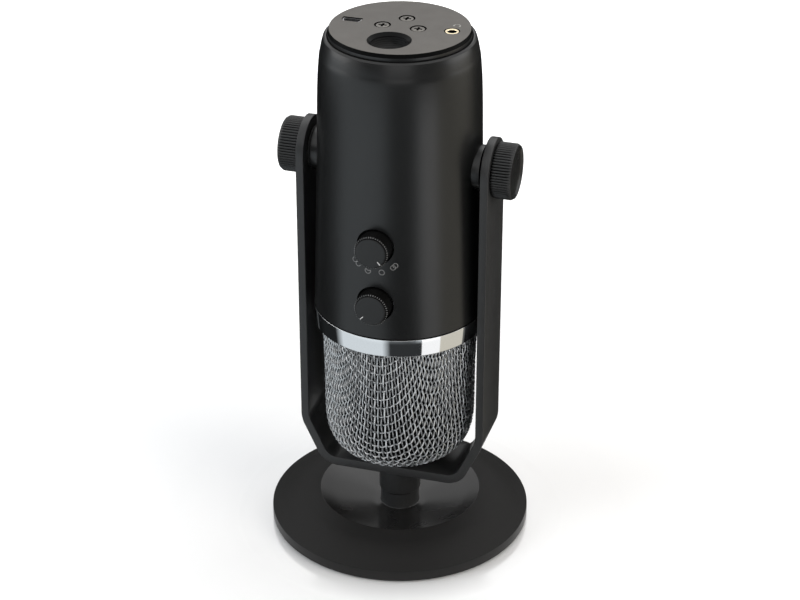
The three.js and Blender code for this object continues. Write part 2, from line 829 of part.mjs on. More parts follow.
function chassis_frame() {
  const foot_radius = grille_collar_radius - seat_gap;
  const foot = tube(foot_radius, chassis_foot_hole_radius, chassis_foot_bottom, chassis_foot_top, round_sides);
  const disc_radius = plate_radius - chassis_disc_inset;
  const disc = rod(disc_radius, chassis_disc_bottom, chassis_disc_top, round_sides);
  const rail_height = chassis_disc_top - chassis_foot_bottom;
  const rail_centre = (chassis_disc_top + chassis_foot_bottom) / 2;
  const rail = () => block(rail_thickness, rail_half_width * 2, rail_height).translate(0, 0, rail_centre);
  const shoulder_top = io_board_bottom - seat_gap;
  const lead_hole = rod(lead_radius + lead_clearance, main_board_top, post_top + overrun, round_sides);
  const posts = plate_screw_places.map(([x, y]) => turned([
    [0, chassis_disc_bottom],
    [post_radius + post_shoulder_width, chassis_disc_bottom],
    [post_radius + post_shoulder_width, shoulder_top],
    [post_radius, shoulder_top],
    [post_radius, post_top],
    [0, post_top],
  ], small_sides).translate(x, y, 0));

  const screw_bore = plate_screw_shank_radius + seat_gap;
  const screw_floor = plate_top - plate_screw_length - seat_gap;
  const screw_holes = plate_screw_places.map(([x, y]) =>
    rod(screw_bore, screw_floor, post_top + overrun, small_sides).translate(x, y, 0));
  const reach = rail_outer + overrun;
  const stud_hole = along_x(rod(stud_radius + seat_gap, -reach, reach, small_sides));
  const board_holes = board_screw_places().map((place) => place(
    rod(board_screw_radius + seat_gap, control_board_outside - board_screw_length - seat_gap,
      rail_half_width + overrun, small_sides)));
  return cut(
    join(foot, disc, rail().translate(-rail_middle, 0, 0), rail().translate(rail_middle, 0, 0), ...posts),
    ...screw_holes,
    lead_hole,
    stud_hole,
    ...board_holes,
  );
}

// Moves a piece made on the Z axis to each of the four board screws: front two, then rear two
function board_screw_places() {
  const high = control_board_top - board_screw_margin;
  const low = control_board_bottom + board_screw_margin;
  return [
    (piece) => along_minus_y(piece).translate(-rail_middle, 0, high),
    (piece) => along_minus_y(piece).translate(rail_middle, 0, low),
    (piece) => along_y(piece).translate(-rail_middle, 0, high),
    (piece) => along_y(piece).translate(rail_middle, 0, low),
  ];
}

function board_screw(place) {
  const tip = control_board_outside - board_screw_length;
  const seat = control_board_outside + seat_gap;
  return place(turned([
    [0, tip],
    [board_screw_radius, tip],
    [board_screw_radius, seat],
    [board_screw_head_radius, seat],
    [board_screw_head_radius, seat + board_screw_head_height],
    [0, seat + board_screw_head_height],
  ], small_sides));
}

// Board on the rails' front edges, or on their rear edges with side = 1
function control_board(side) {
  const height = control_board_top - control_board_bottom;
  const board = block(rail_outer * 2, board_thickness, height);
  board.translate(0, side * (control_board_inside + board_thickness / 2), control_board_bottom + height / 2);
  const places = side < 0 ? board_screw_places().slice(0, 2) : board_screw_places().slice(2);
  const drill = () => rod(board_screw_radius + seat_gap, control_board_inside - overrun,
    control_board_outside + overrun, small_sides);
  return cut(board, ...places.map((place) => place(drill())));
}

function main_board() {
  const height = main_board_top - main_board_bottom;
  const middle = (main_board_top + main_board_bottom) / 2;
  const board = block((rail_inner - seat_gap) * 2, board_thickness, height).translate(0, 0, middle);
  const chip = () => block(main_chip_size, main_chip_height + board_thickness, main_chip_size)
    .translate(0, main_chip_height / 2, 0);
  const capacitor = () => along_y(rod(capacitor_radius, 0, capacitor_height, small_sides));
  return join(
    board,
    chip().translate(-main_chip_size, 0, middle + main_chip_size),
    chip().translate(main_chip_size / 2, 0, middle - main_chip_size),
    capacitor().translate(main_chip_size, 0, middle + main_chip_size),
    capacitor().translate(main_chip_size, 0, middle + main_chip_size * 2),
  );
}

function io_board() {
  const radius = plate_radius - io_board_inset;
  const disc = rod(radius, io_board_bottom, io_board_top, round_sides);
  const front_edge = bush_radius + io_board_gap - thread_offset;
  const depth = radius + front_edge + overrun;
  const front = block(radius * 2 + overrun, depth, board_thickness + overrun * 2)
    .translate(0, front_edge - depth / 2, (io_board_bottom + io_board_top) / 2);
  const post_holes = plate_screw_places.map(([x, y]) => rod(
    post_radius + seat_gap, io_board_bottom - overrun, io_board_top + overrun, small_sides,
  ).translate(x, y, 0));
  return cut(disc, front, ...post_holes);
}

function io_lead() {
  return rod(lead_radius, main_board_top + seat_gap, io_board_bottom - seat_gap, small_sides);
}

function capsule_lead() {
  return rod(lead_radius, cradle_top + seat_gap, main_board_bottom - seat_gap, small_sides);
}

// Rotary control's body, drilled for its shaft; made on the Z axis
function pot_body() {
  const body = block(pot_width, pot_width, pot_depth).translate(0, 0, (pot_back + pot_front) / 2);
  return cut(body, rod(shaft_radius + seat_gap, pot_front - pot_bore_depth, pot_front + overrun, small_sides));
}

function mute_switch() {
  return block(switch_width, switch_width, switch_depth).translate(0, 0, pot_back + switch_depth / 2);
}

// Capsules in their cradle

function capsule_isolator() {
  return tube(cradle_radius + isolator_lap, isolator_bore_radius, isolator_bottom, isolator_top, round_sides);
}

// Lays a piece made on the Z axis out from the cradle's axis, at a capsule's place
function at_capsule(piece, number) {
  return along_y(piece).rotateZ(third_of_turn * number).translate(0, 0, cradle_bottom + capsule_rise);
}

function capsule_cradle() {
  const body = rod(cradle_radius, cradle_bottom, cradle_top, round_sides);
  const pocket_floor = capsule_seat_radius - seat_gap;
  const pocket = () => rod(capsule_radius + seat_gap, pocket_floor, cradle_radius + overrun, small_sides);
  const pockets = [...Array(capsule_count).keys()].map((number) => at_capsule(pocket(), number));
  return cut(body, ...pockets);
}

function capsule(number) {
  const front = capsule_seat_radius + capsule_thickness;
  return at_capsule(rod(capsule_radius, capsule_seat_radius, front, small_sides), number);
}

// Tilt screws and the bosses that they go into, made along +Z from the microphone's axis

function pivot_boss() {
  return tube(boss_radius, stud_radius + seat_gap, boss_inner, boss_outer, round_sides);
}

function friction_washer() {
  const radius = boss_radius - friction_washer_inset;
  return tube(radius, stud_radius + seat_gap, washer_inner, washer_outer, round_sides);
}

function thumb_stud() {
  const inner_end = rail_inner + stud_end_inset;
  return rod(stud_radius, inner_end, thumb_foot + thumb_bore_depth - seat_gap, small_sides);
}

function thumb_knob() {
  const ridges = [];
  for (let step = 0; step < thumb_ridge_count * 2; step += 1) {
    const radius = step % 2 ? thumb_knob_radius - thumb_ridge_depth : thumb_knob_radius;
    const angle = (Math.PI * step) / thumb_ridge_count;
    ridges.push([Math.cos(angle) * radius, Math.sin(angle) * radius]);
  }
  const barrel_end = thumb_tip - thumb_chamfer_length;
  const barrel = prism(ridges, barrel_end - thumb_foot).translate(0, 0, thumb_foot);
  const valley = thumb_knob_radius - thumb_ridge_depth;
  const rim = thumb_knob_radius - thumb_chamfer_depth;
  const cap = turned([
    [0, barrel_end - thumb_dish_depth],
    [valley - thumb_dish_depth, barrel_end - thumb_dish_depth],
    [valley, barrel_end],
    [rim, thumb_tip],
    [rim - thumb_rim_width, thumb_tip],
    [rim - thumb_rim_width - thumb_dish_depth, thumb_tip - thumb_dish_depth],
    [0, thumb_tip - thumb_dish_depth],
  ], round_sides);
  const bore = rod(stud_radius + seat_gap, thumb_foot - overrun, thumb_foot + thumb_bore_depth, small_sides);
  return cut(join(barrel, cap), bore);
}

// Controls, made along +Z from the microphone's axis for a knob at a height

function knob_face_at(height) {
  return housing_radius_at(height) + knob_proud;
}

function control_knob(height) {
  const face = knob_face_at(height);
  const back = face - knob_length;
  const bore = shaft_radius + seat_gap;
  return turned([
    [0, back + knob_bore_depth],
    [bore, back + knob_bore_depth],
    [bore, back],
    [knob_radius, back],
    [knob_radius, face - knob_chamfer_height],
    [knob_face_radius, face],
    [0, face],
  ], round_sides);
}

function control_shaft(height) {
  const inner_end = pot_front - pot_bore_depth + seat_gap;
  const outer_end = knob_face_at(height) - knob_length + knob_bore_depth - seat_gap;
  return rod(shaft_radius, inner_end, outer_end, small_sides);
}

function mute_button() {
  const face = housing_radius_at(gain_height) + mute_proud;
  const flange_radius = mute_radius + mute_flange_width;
  const flange_front = Math.sqrt(housing_inner_radius_at(gain_height) ** 2 - flange_radius ** 2) - seat_gap;
  const flange_back = flange_front - mute_flange_thickness;
  const stem_end = pot_back + switch_depth + mute_travel + seat_gap;
  return turned([
    [0, stem_end],
    [mute_stem_radius, stem_end],
    [mute_stem_radius, flange_back],
    [flange_radius, flange_back],
    [flange_radius, flange_front],
    [mute_radius, flange_front],
    [mute_radius, face - mute_edge_round],
    [mute_radius - mute_edge_round, face],
    [0, face],
  ], small_sides);
}

// Finishes, by their colour, roughness and metalness

const finishes = {
  satin_black_paint: { color: 0x26272a, roughness: 0.45, metalness: 0.2 },
  textured_black_paint: { color: 0x1e1e1f, roughness: 0.6, metalness: 0.1 },
  warm_grey_plate: { color: 0x4c4a48, roughness: 0.5, metalness: 0.3 },
  polished_chrome: { color: 0xdadcde, roughness: 0.08, metalness: 1 },
  silver_wire: { color: 0xa7a9ab, roughness: 0.35, metalness: 1 },
  black_plastic: { color: 0x161617, roughness: 0.5, metalness: 0 },
  steel: { color: 0x8d8f92, roughness: 0.35, metalness: 1 },
  gold_plate: { color: 0xd8b76a, roughness: 0.25, metalness: 1 },
  rubber: { color: 0x141414, roughness: 0.9, metalness: 0 },
  foam: { color: 0x101011, roughness: 1, metalness: 0 },
  circuit_board: { color: 0x1f5a36, roughness: 0.5, metalness: 0 },
  bare_aluminium: { color: 0xb4b6b8, roughness: 0.4, metalness: 1 },
};

function add(parent, name, geometry, finish) {
  const material = new THREE.MeshStandardMaterial(finishes[finish]);
  const mesh = new THREE.Mesh(closed(geometry), material);
  mesh.name = name;
  parent.add(mesh);
  return mesh;
}

const wasm = await Module();
wasm.setup();

const microphone_and_stand = new THREE.Group();

add(microphone_and_stand, "base_plate", base_plate(), "textured_black_paint");
add(microphone_and_stand, "foot_pad", foot_pad(), "rubber");
add(microphone_and_stand, "bolt_washer", bolt_washer(), "steel");
add(microphone_and_stand, "base_bolt", base_bolt(), "steel");
add(microphone_and_stand, "stem_collar", stem_collar(), "satin_black_paint");
add(microphone_and_stand, "yoke", yoke(), "satin_black_paint");

const microphone = new THREE.Group();
microphone.position.z = pivot_height;
microphone_and_stand.add(microphone);

add(microphone, "housing", housing(), "satin_black_paint");
add(microphone, "end_plate", end_plate(), "warm_grey_plate");
const bush_mesh = add(microphone, "stand_thread_bush", stand_thread_bush(), "satin_black_paint");
bush_mesh.position.y = -thread_offset;
plate_screw_places.forEach(([x, y], number) => {
  const screw_mesh = add(microphone, `plate_screw_${number + 1}`, plate_screw(), "warm_grey_plate");
  screw_mesh.position.set(x, y, 0);
});
const usb_mesh = add(microphone, "usb_socket", usb_socket(), "steel");
usb_mesh.position.set(-usb_offset, usb_row, 0);
const jack_mesh = add(microphone, "headphone_jack", headphone_jack(), "black_plastic");
jack_mesh.position.set(jack_offset, jack_row, 0);
const barrel_mesh = add(microphone, "jack_barrel", jack_barrel(), "gold_plate");
barrel_mesh.position.set(jack_offset, jack_row, 0);
add(microphone, "trim_ring", trim_ring(), "polished_chrome");
add(microphone, "grille", grille(), "silver_wire");
add(microphone, "grille_liner", grille_liner(), "foam");
add(microphone, "bulkhead", bulkhead(), "black_plastic");

add(microphone, "chassis_frame", chassis_frame(), "bare_aluminium");
add(microphone, "main_board", main_board(), "circuit_board");
add(microphone, "front_control_board", control_board(-1), "circuit_board");
add(microphone, "rear_control_board", control_board(1), "circuit_board");
add(microphone, "io_board", io_board(), "circuit_board");
add(microphone, "io_lead", io_lead(), "rubber");
add(microphone, "capsule_lead", capsule_lead(), "rubber");
board_screw_places().forEach((place, number) => {
  const side = number < 2 ? "front" : "rear";
  add(microphone, `${side}_board_screw_${(number % 2) + 1}`, board_screw(place), "steel");
});

add(microphone, "capsule_isolator", capsule_isolator(), "rubber");
add(microphone, "capsule_cradle", capsule_cradle(), "black_plastic");
for (let number = 0; number < capsule_count; number += 1) {
  add(microphone, `capsule_${number + 1}`, capsule(number), "steel");
}

add(microphone, "pattern_switch", along_minus_y(pot_body()).translate(0, 0, pattern_height), "black_plastic");
add(microphone, "gain_pot", along_minus_y(pot_body()).translate(0, 0, gain_height), "black_plastic");
add(microphone, "volume_pot", along_y(pot_body()).translate(0, 0, pattern_height), "black_plastic");
add(microphone, "mute_switch", along_y(mute_switch()).translate(0, 0, gain_height), "black_plastic");

const controls = [
  ["pattern", pattern_height, along_minus_y],
  ["gain", gain_height, along_minus_y],
  ["volume", pattern_height, along_y],
];
for (const [control, height, outward] of controls) {
  add(microphone, `${control}_knob`, outward(control_knob(height)).translate(0, 0, height), "black_plastic");
  add(microphone, `${control}_shaft`, outward(control_shaft(height)).translate(0, 0, height), "steel");
}
add(microphone, "mute_button", along_y(mute_button()).translate(0, 0, gain_height), "black_plastic");

for (const [hand, outward] of [["left", along_minus_x], ["right", along_x]]) {
  add(microphone, `pivot_boss_${hand}`, outward(pivot_boss()), "satin_black_paint");
  add(microphone, `friction_washer_${hand}`, outward(friction_washer()), "rubber");
  add(microphone, `thumb_stud_${hand}`, outward(thumb_stud()), "steel");
  add(microphone, `thumb_knob_${hand}`, outward(thumb_knob()), "black_plastic");
}

export default microphone_and_stand;
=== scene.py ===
"""Looks of a desktop microphone on a yoke stand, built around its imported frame."""

import math

import bmesh
import bpy
from bpy.props import FloatProperty, FloatVectorProperty, IntProperty, PointerProperty
from mathutils import Matrix, Vector


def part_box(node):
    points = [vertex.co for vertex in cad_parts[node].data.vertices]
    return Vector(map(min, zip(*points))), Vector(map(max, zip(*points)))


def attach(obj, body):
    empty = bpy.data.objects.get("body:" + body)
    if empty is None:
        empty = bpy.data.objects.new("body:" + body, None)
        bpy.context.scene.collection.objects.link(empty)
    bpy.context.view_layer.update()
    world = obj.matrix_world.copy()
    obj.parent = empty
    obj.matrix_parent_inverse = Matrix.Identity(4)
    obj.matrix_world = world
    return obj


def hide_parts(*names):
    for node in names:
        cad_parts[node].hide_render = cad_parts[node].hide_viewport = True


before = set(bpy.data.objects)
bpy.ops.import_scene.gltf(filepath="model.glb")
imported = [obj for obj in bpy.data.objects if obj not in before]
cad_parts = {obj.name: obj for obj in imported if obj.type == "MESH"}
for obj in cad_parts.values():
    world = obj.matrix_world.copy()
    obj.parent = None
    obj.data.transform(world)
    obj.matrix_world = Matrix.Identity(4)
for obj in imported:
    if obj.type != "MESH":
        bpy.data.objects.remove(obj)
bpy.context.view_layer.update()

bl_info = {
    "name": "Desktop microphone",
    "version": (1, 0, 0),
    "blender": (4, 5, 0),
    "location": "View3D > Sidebar > Microphone",
    "description": "Builds the microphone's pieces, finishes and studio around its packed frame",
    "category": "Object",
}

MM = 0.001
FULL_TURN = math.tau
QUARTER_TURN = math.pi / 2
CREASE_ANGLE = math.radians(32)
MERGE_DISTANCE = 1e-7
BISECT_DISTANCE = 1e-8
TINY = 1e-6

# Sizes that several pieces share
PRINT_ROOM = 0.03 * MM
MARK_LIFT = 0.004 * MM
BAR_THICKNESS = 3.4 * MM
BOLT_BORE = 3.3 * MM  # radius of the holes for the bolt, the studs and the knobs' shafts

# Turns a piece made along +Z so that it points along a side of the object
ALONG = {
    "-Y": Matrix.Rotation(QUARTER_TURN, 4, "X"),
    "+Y": Matrix.Rotation(-QUARTER_TURN, 4, "X"),
    "+X": Matrix.Rotation(QUARTER_TURN, 4, "Y"),
    "-X": Matrix.Rotation(-QUARTER_TURN, 4, "Y"),
}


def at(x, y, z):
    return Matrix.Translation((x, y, z))


# Places taken from the frame


def low(node, axis):
    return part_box(node)[0]["XYZ".index(axis)]


def high(node, axis):
    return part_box(node)[1]["XYZ".index(axis)]


def middle(node, axis):
    return (low(node, axis) + high(node, axis)) / 2


# Outside of the housing: share of its height, share of its foot's radius
HOUSING_SHARES = [
    (0, 0.9975),
    (0.3, 0.971),
    (0.5466, 0.9458),
    (0.8054, 0.9278),
    (0.9157, 0.9056),
    (0.9516, 0.8875),
    (0.978, 0.8695),
    (0.995, 0.8528),
]

PIVOT_HEIGHT = middle("pivot_boss_left", "Z")
PLATE_TOP = high("end_plate", "Z") - PRINT_ROOM
HOUSING_FOOT = low("housing", "Z")
HOUSING_LIP = high("housing", "Z")
HOUSING_RADIUS = high("housing", "X") / HOUSING_SHARES[0][1]
GRILLE_TIP = low("grille", "Z")
GRILLE_EDGE = low("trim_ring", "Z")


# Sizes and colours that a user may change


def length(name, description, millimetres):
    shown = {"precision": 5, "unit": "LENGTH", "subtype": "DISTANCE"}
    return FloatProperty(name=name, description=description, default=millimetres * MM, min=0, **shown)


def number(name, description, default, **shown):
    return FloatProperty(name=name, description=description, default=default, **shown)


def count(name, description, default):
    return IntProperty(name=name, description=description, default=default)


def colour(name, description, *rgb):
    shown = {"size": 3, "min": 0, "max": 1, "subtype": "COLOR"}
    return FloatVectorProperty(name=name, description=description, default=rgb, **shown)


class StandSizes(bpy.types.PropertyGroup):
    rim_round: length("Rim rounding", "Rounding of the base's outer edges", 0.45)
    ridge_radius: length("Ridge radius", "Middle of the raised ring", 35)
    ridge_round: length("Ridge rounding", "Rounding of the raised ring's crest", 0.5)
    dish_floor_radius: length("Dish floor radius", "Flat floor inside the ring", 10.2)
    neck_round: length("Neck rounding", "Hollow rounding at the foot of the neck", 0.45)
    foot_bend: length("Foot bend", "Radius of the yoke's lower bends, outside", 10)
    edge_round: length("Bar edge rounding", "Rounding along the yoke's edges", 0.25)
    collar_chamfer: length("Collar chamfer", "Bevel at the collar's ends", 0.5)
    sides: count("Sides", "Facets round the base", 180)


class GrilleSizes(bpy.types.PropertyGroup):
    wire_radius: length("Wire radius", "Radius of one wire of the mesh", 0.325)
    sway: length("Sway", "How far a wire weaves in and out", 0.42)
    crown_spacing: length("Crown spacing", "Wire spacing at the dome's middle", 1.709)
    side_spacing: length("Side spacing", "Drawn-out spacing down the sides", 4.15)
    drawn_from: number("Drawn from", "Wires from the middle to the fully drawn-out mesh", 22)
    wires: count("Wires", "Wires from the middle to the edge", 32)
    steps: count("Steps", "Steps along a wire between crossings", 4)
    wire_sides: count("Wire sides", "Facets round a wire", 6)
    band_drop: length("Band drop", "How far the bright band covers the mesh's edge", 0.7)
    hem_inset: length("Hem inset", "From the band's outside in to the mesh's hem", 0.85)
    hem_drop: length("Hem drop", "Visible height of the mesh's hem", 0.75)
    foam_depth: length("Foam depth", "From the mesh's outside to the foam", 1.8)
    foam_thickness: length("Foam thickness", "Wall of the foam liner", 2)


class ControlSizes(bpy.types.PropertyGroup):
    knurls: count("Knurls", "Diamonds round a control knob", 44)
    knurl_rows: number("Knurl rows", "Diamonds along a control knob", 7)
    knurl_depth: length("Knurl depth", "Depth of the knurl's grooves", 0.45)
    proud: length("Proud", "How far a knob stands out beyond the packed one", 0.9)
    face_radius: length("Face radius", "Radius of a knob's plain face", 6.3)
    rim_width: length("Rim width", "Bevel between a knob's face and its knurl", 1.0)
    pointer_length: length("Pointer length", "Length of a knob's pointer line", 1.8)
    pointer_width: length("Pointer width", "Width of a knob's pointer line", 0.34)
    mark_radius: length("Mark radius", "From a knob's axis to its marks", 11.3)
    mark_size: length("Mark size", "Width of one pattern mark", 2.45)
    mark_stroke: length("Mark stroke", "Width of a mark's line", 0.21)
    print_thickness: length("Print thickness", "Thickness of the printed marks", 0.03)


class TiltScrewSizes(bpy.types.PropertyGroup):
    ridges: count("Ridges", "Ridges round a tilt screw", 60)
    ridge_depth: length("Ridge depth", "Depth of the grooves between ridges", 0.48)
    rim_width: length("Rim width", "Bright flat rim of the screw's end", 0.7)
    dish_depth: length("Dish depth", "Hollow of the screw's end", 0.8)


class PlateSizes(bpy.types.PropertyGroup):
    edge_height: length("Edge height", "Height of the plate's bevelled edge", 1.6)
    edge_width: length("Edge width", "Width of the plate's bevelled edge", 0.55)
    thread_pitch: length("Thread pitch", "Pitch of the stand's thread", 0.94)
    thread_depth: length("Thread depth", "Height of the thread's ridge", 0.5)
    recess_length: length("Recess length", "Cross recess in the screw heads", 4.1)
    recess_width: length("Recess width", "Width of the recess's slots", 0.95)
    recess_depth: length("Recess depth", "Depth of the cross recess", 1.4)
    headphone_mark: length("Headphone mark", "Width of the headphone pictogram", 3)


class FinishColours(bpy.types.PropertyGroup):
    cast_black: colour("Base black", "Textured paint of the base", 0.0095, 0.0092, 0.009)
    stand_black: colour("Stand black", "Satin paint of the yoke", 0.026, 0.0265, 0.027)
    housing_black: colour("Housing black", "Satin finish of the housing", 0.0045, 0.0047, 0.0048)
    plate_grey: colour("Plate grey", "Blasted finish of the end plate", 0.099, 0.0925, 0.0845)
    chrome: colour("Chrome", "Polished trim ring", 0.9, 0.91, 0.92)
    wire_silver: colour("Wire silver", "Wires of the grille", 0.67, 0.681, 0.69)
    control_black: colour("Control black", "Knobs and tilt screws", 0.0105, 0.0108, 0.011)
    mark_grey: colour("Mark grey", "Printed marks on the housing", 0.235, 0.235, 0.235)
    pointer_white: colour("Pointer white", "Pointer lines of the knobs", 0.6, 0.6, 0.6)
    gold: colour("Gold", "Ring of the headphone socket", 0.95, 0.83, 0.58)


class StudioSettings(bpy.types.PropertyGroup):
    ambient: number("Ambient", "Light from all round on matt surfaces", 0.42)
    floor_glow: number("Floor glow", "Light of the floor near the object", 0.14)
    floor_gloss: number("Floor gloss", "How much the floor mirrors the base", 0.36)
    lens: number("Lens", "Camera's focal length in millimetres", 102.95)
    left_lamp: number("Left lamp", "Power of the cool lamp", 7, subtype="POWER")
    right_lamp: number("Right lamp", "Power of the warm lamp", 7, subtype="POWER")
    top_lamp: number("Top lamp", "Power of the lamp overhead", 7, subtype="POWER")


SETTINGS = {
    "stand": StandSizes,
    "grille": GrilleSizes,
    "controls": ControlSizes,
    "tilt_screws": TiltScrewSizes,
    "plate": PlateSizes,
    "colours": FinishColours,
    "studio": StudioSettings,
}


def settings(title):
    return getattr(bpy.context.scene, f"desk_mic_{title}")


# Node trees


def operation(name):
    """A method of Term that adds a Math node."""

    def work(self, *others):
        values = dict(enumerate((self, *others)))
        return self.graph.add("ShaderNodeMath", {"operation": name}, values)

    return work


class Term:
    """A value in a node tree. Sums and products of terms add Math nodes."""

    def __init__(self, graph, socket):
        self.graph = graph
        self.socket = socket

    __add__ = __radd__ = operation("ADD")
    __sub__ = operation("SUBTRACT")
    __mul__ = __rmul__ = operation("MULTIPLY")
    __truediv__ = operation("DIVIDE")
    __pow__ = operation("POWER")
    __gt__ = operation("GREATER_THAN")
    least = operation("MINIMUM")
    most = operation("MAXIMUM")
    size = operation("ABSOLUTE")
    sine = operation("SINE")
    cosine = operation("COSINE")
    fraction = operation("FRACT")
    turn_from = operation("ARCTAN2")

    def __rsub__(self, other):
        return self.graph.add("ShaderNodeMath", {"operation": "SUBTRACT"}, {0: other, 1: self})

    def output(self, name):
        return Term(self.graph, self.socket.node.outputs[name])


class Graph:
    """Adds nodes to a shader tree or a Geometry Nodes tree."""

    def __init__(self, tree):
        self.tree = tree
        tree.nodes.clear()

    def add(self, kind, choices=None, values=None, output=0):
        node = self.tree.nodes.new(kind)
        for name, choice in (choices or {}).items():
            setattr(node, name, choice)
        for key, value in (values or {}).items():
            socket = node.inputs[key]
            if isinstance(value, Term):
                self.tree.links.new(value.socket, socket)
            else:
                socket.default_value = value
        if not node.outputs:
            return None
        return Term(self, node.outputs[output])

    def vector(self, x, y, z):
        return self.add("ShaderNodeCombineXYZ", {}, {"X": x, "Y": y, "Z": z})

    def parts(self, vector):
        first = self.add("ShaderNodeSeparateXYZ", {}, {0: vector})
        return first, first.output("Y"), first.output("Z")

    def blend(self, share, first, second):
        """Colour between two colours."""
        values = {"Factor": share, 6: first, 7: second}
        return self.add("ShaderNodeMix", {"data_type": "RGBA"}, values, output=2)

    def spread(self, value, low_in, high_in, low_out, high_out):
        """A value's range drawn out to another range."""
        values = {0: value, 1: low_in, 2: high_in, 3: low_out, 4: high_out}
        return self.add("ShaderNodeMapRange", {"clamp": True}, values)

    def ray(self, kind):
        return self.add("ShaderNodeLightPath", output=kind)


def new_material(name):
    material = bpy.data.materials.new(name)
    material.use_nodes = True
    return material, Graph(material.node_tree)


def opaque(rgb):
    return (*rgb, 1)


def times(rgb, share):
    return tuple(min(1, part * share) for part in rgb)


class Surface:
    """One finish: a Principled shader with procedural colour, roughness and relief."""

    noise_low, noise_high = 0.3, 0.7

    def __init__(self, name, **constants):
        self.material, self.graph = new_material(name)
        self.constants = constants
        self.place = self.graph.add("ShaderNodeTexCoord", output="Object")

    def noise(self, size, detail=2):
        values = {"Vector": self.place, "Scale": 1 / size, "Detail": detail}
        return self.graph.add("ShaderNodeTexNoise", {}, values)

    def cells(self, size, feature="F1"):
        values = {"Vector": self.place, "Scale": 1 / size}
        return self.graph.add("ShaderNodeTexVoronoi", {"feature": feature}, values)

    def from_noise(self, noise, low_out, high_out):
        return self.graph.spread(noise, self.noise_low, self.noise_high, low_out, high_out)

    def shaded(self, share, rgb, darker, lighter):
        """Colour that runs from a darker to a lighter share of one colour."""
        return self.graph.blend(share, opaque(times(rgb, darker)), opaque(times(rgb, lighter)))

    def relief(self, height, depth):
        return self.graph.add("ShaderNodeBump", {}, {"Height": height, "Distance": depth, "Strength": 1})

    def done(self, **inputs):
        values = {**self.constants, **inputs}
        named = {name.replace("_", " "): value for name, value in values.items()}
        shader = self.graph.add("ShaderNodeBsdfPrincipled", {}, named)
        self.graph.add("ShaderNodeOutputMaterial", {}, {"Surface": shader})
        return self.material


def painted(name, rgb, grain, depth, roughness, gloss=0.5, spread=0.15):
    """Paint with a fine orange-peel grain."""
    surface = Surface(name, Specular_IOR_Level=gloss)
    fine, broad = surface.noise(grain, 3), surface.noise(grain * 60)
    shade = surface.from_noise(fine * 0.6 + broad * 0.4, 0, 1)
    return surface.done(
        Base_Color=surface.shaded(shade, rgb, 1 - spread, 1 + spread),
        Roughness=surface.from_noise(broad, roughness * 0.97, roughness * 1.03),
        Normal=surface.relief(fine, depth),
    )


def metal(name, rgb, grain, depth, roughness, metallic=1.0, spread=0.08):
    """Metal with a fine grain."""
    surface = Surface(name, Metallic=metallic)
    fine, broad = surface.noise(grain, 3), surface.noise(grain * 40)
    shade = surface.from_noise(fine, 0, 1)
    return surface.done(
        Base_Color=surface.shaded(shade, rgb, 1 - spread, 1 + spread),
        Roughness=surface.from_noise(broad * 0.5 + fine * 0.5, roughness * 0.85, roughness * 1.15),
        Normal=surface.relief(fine, depth),
    )


def foam(name, rgb):
    """Open-celled foam."""
    surface = Surface(name, Roughness=1.0, Specular_IOR_Level=0.1)
    # Pores painted darker than the cell walls: painted shade in the foam's hollows
    pores = surface.cells(0.7 * MM)
    shade = surface.graph.spread(pores, 0, 0.5, 0, 1)
    return surface.done(
        Base_Color=surface.shaded(shade, rgb, 0.35, 1.3), Normal=surface.relief(pores, 0.35 * MM)
    )


def circuit(name):
    """Green board with lighter tracks and tinned pads."""
    lacquer, copper_green, tin = (0.006, 0.05, 0.018), (0.02, 0.13, 0.05), (0.5, 0.48, 0.42)
    surface = Surface(name, Specular_IOR_Level=0.5)
    tracks = surface.cells(3 * MM, "DISTANCE_TO_EDGE")
    pads = surface.cells(2.2 * MM)
    track = surface.graph.spread(tracks, 0.04, 0.06, 1, 0)
    pad = surface.graph.spread(pads, 0.12, 0.15, 1, 0)
    mask = surface.graph.blend(track, opaque(lacquer), opaque(copper_green))
    return surface.done(
        Base_Color=surface.graph.blend(pad, mask, opaque(tin)),
        Roughness=surface.from_noise(surface.noise(4 * MM), 0.35, 0.5),
        Metallic=pad,
        Normal=surface.relief(track, 0.04 * MM),
    )


finishes = {}


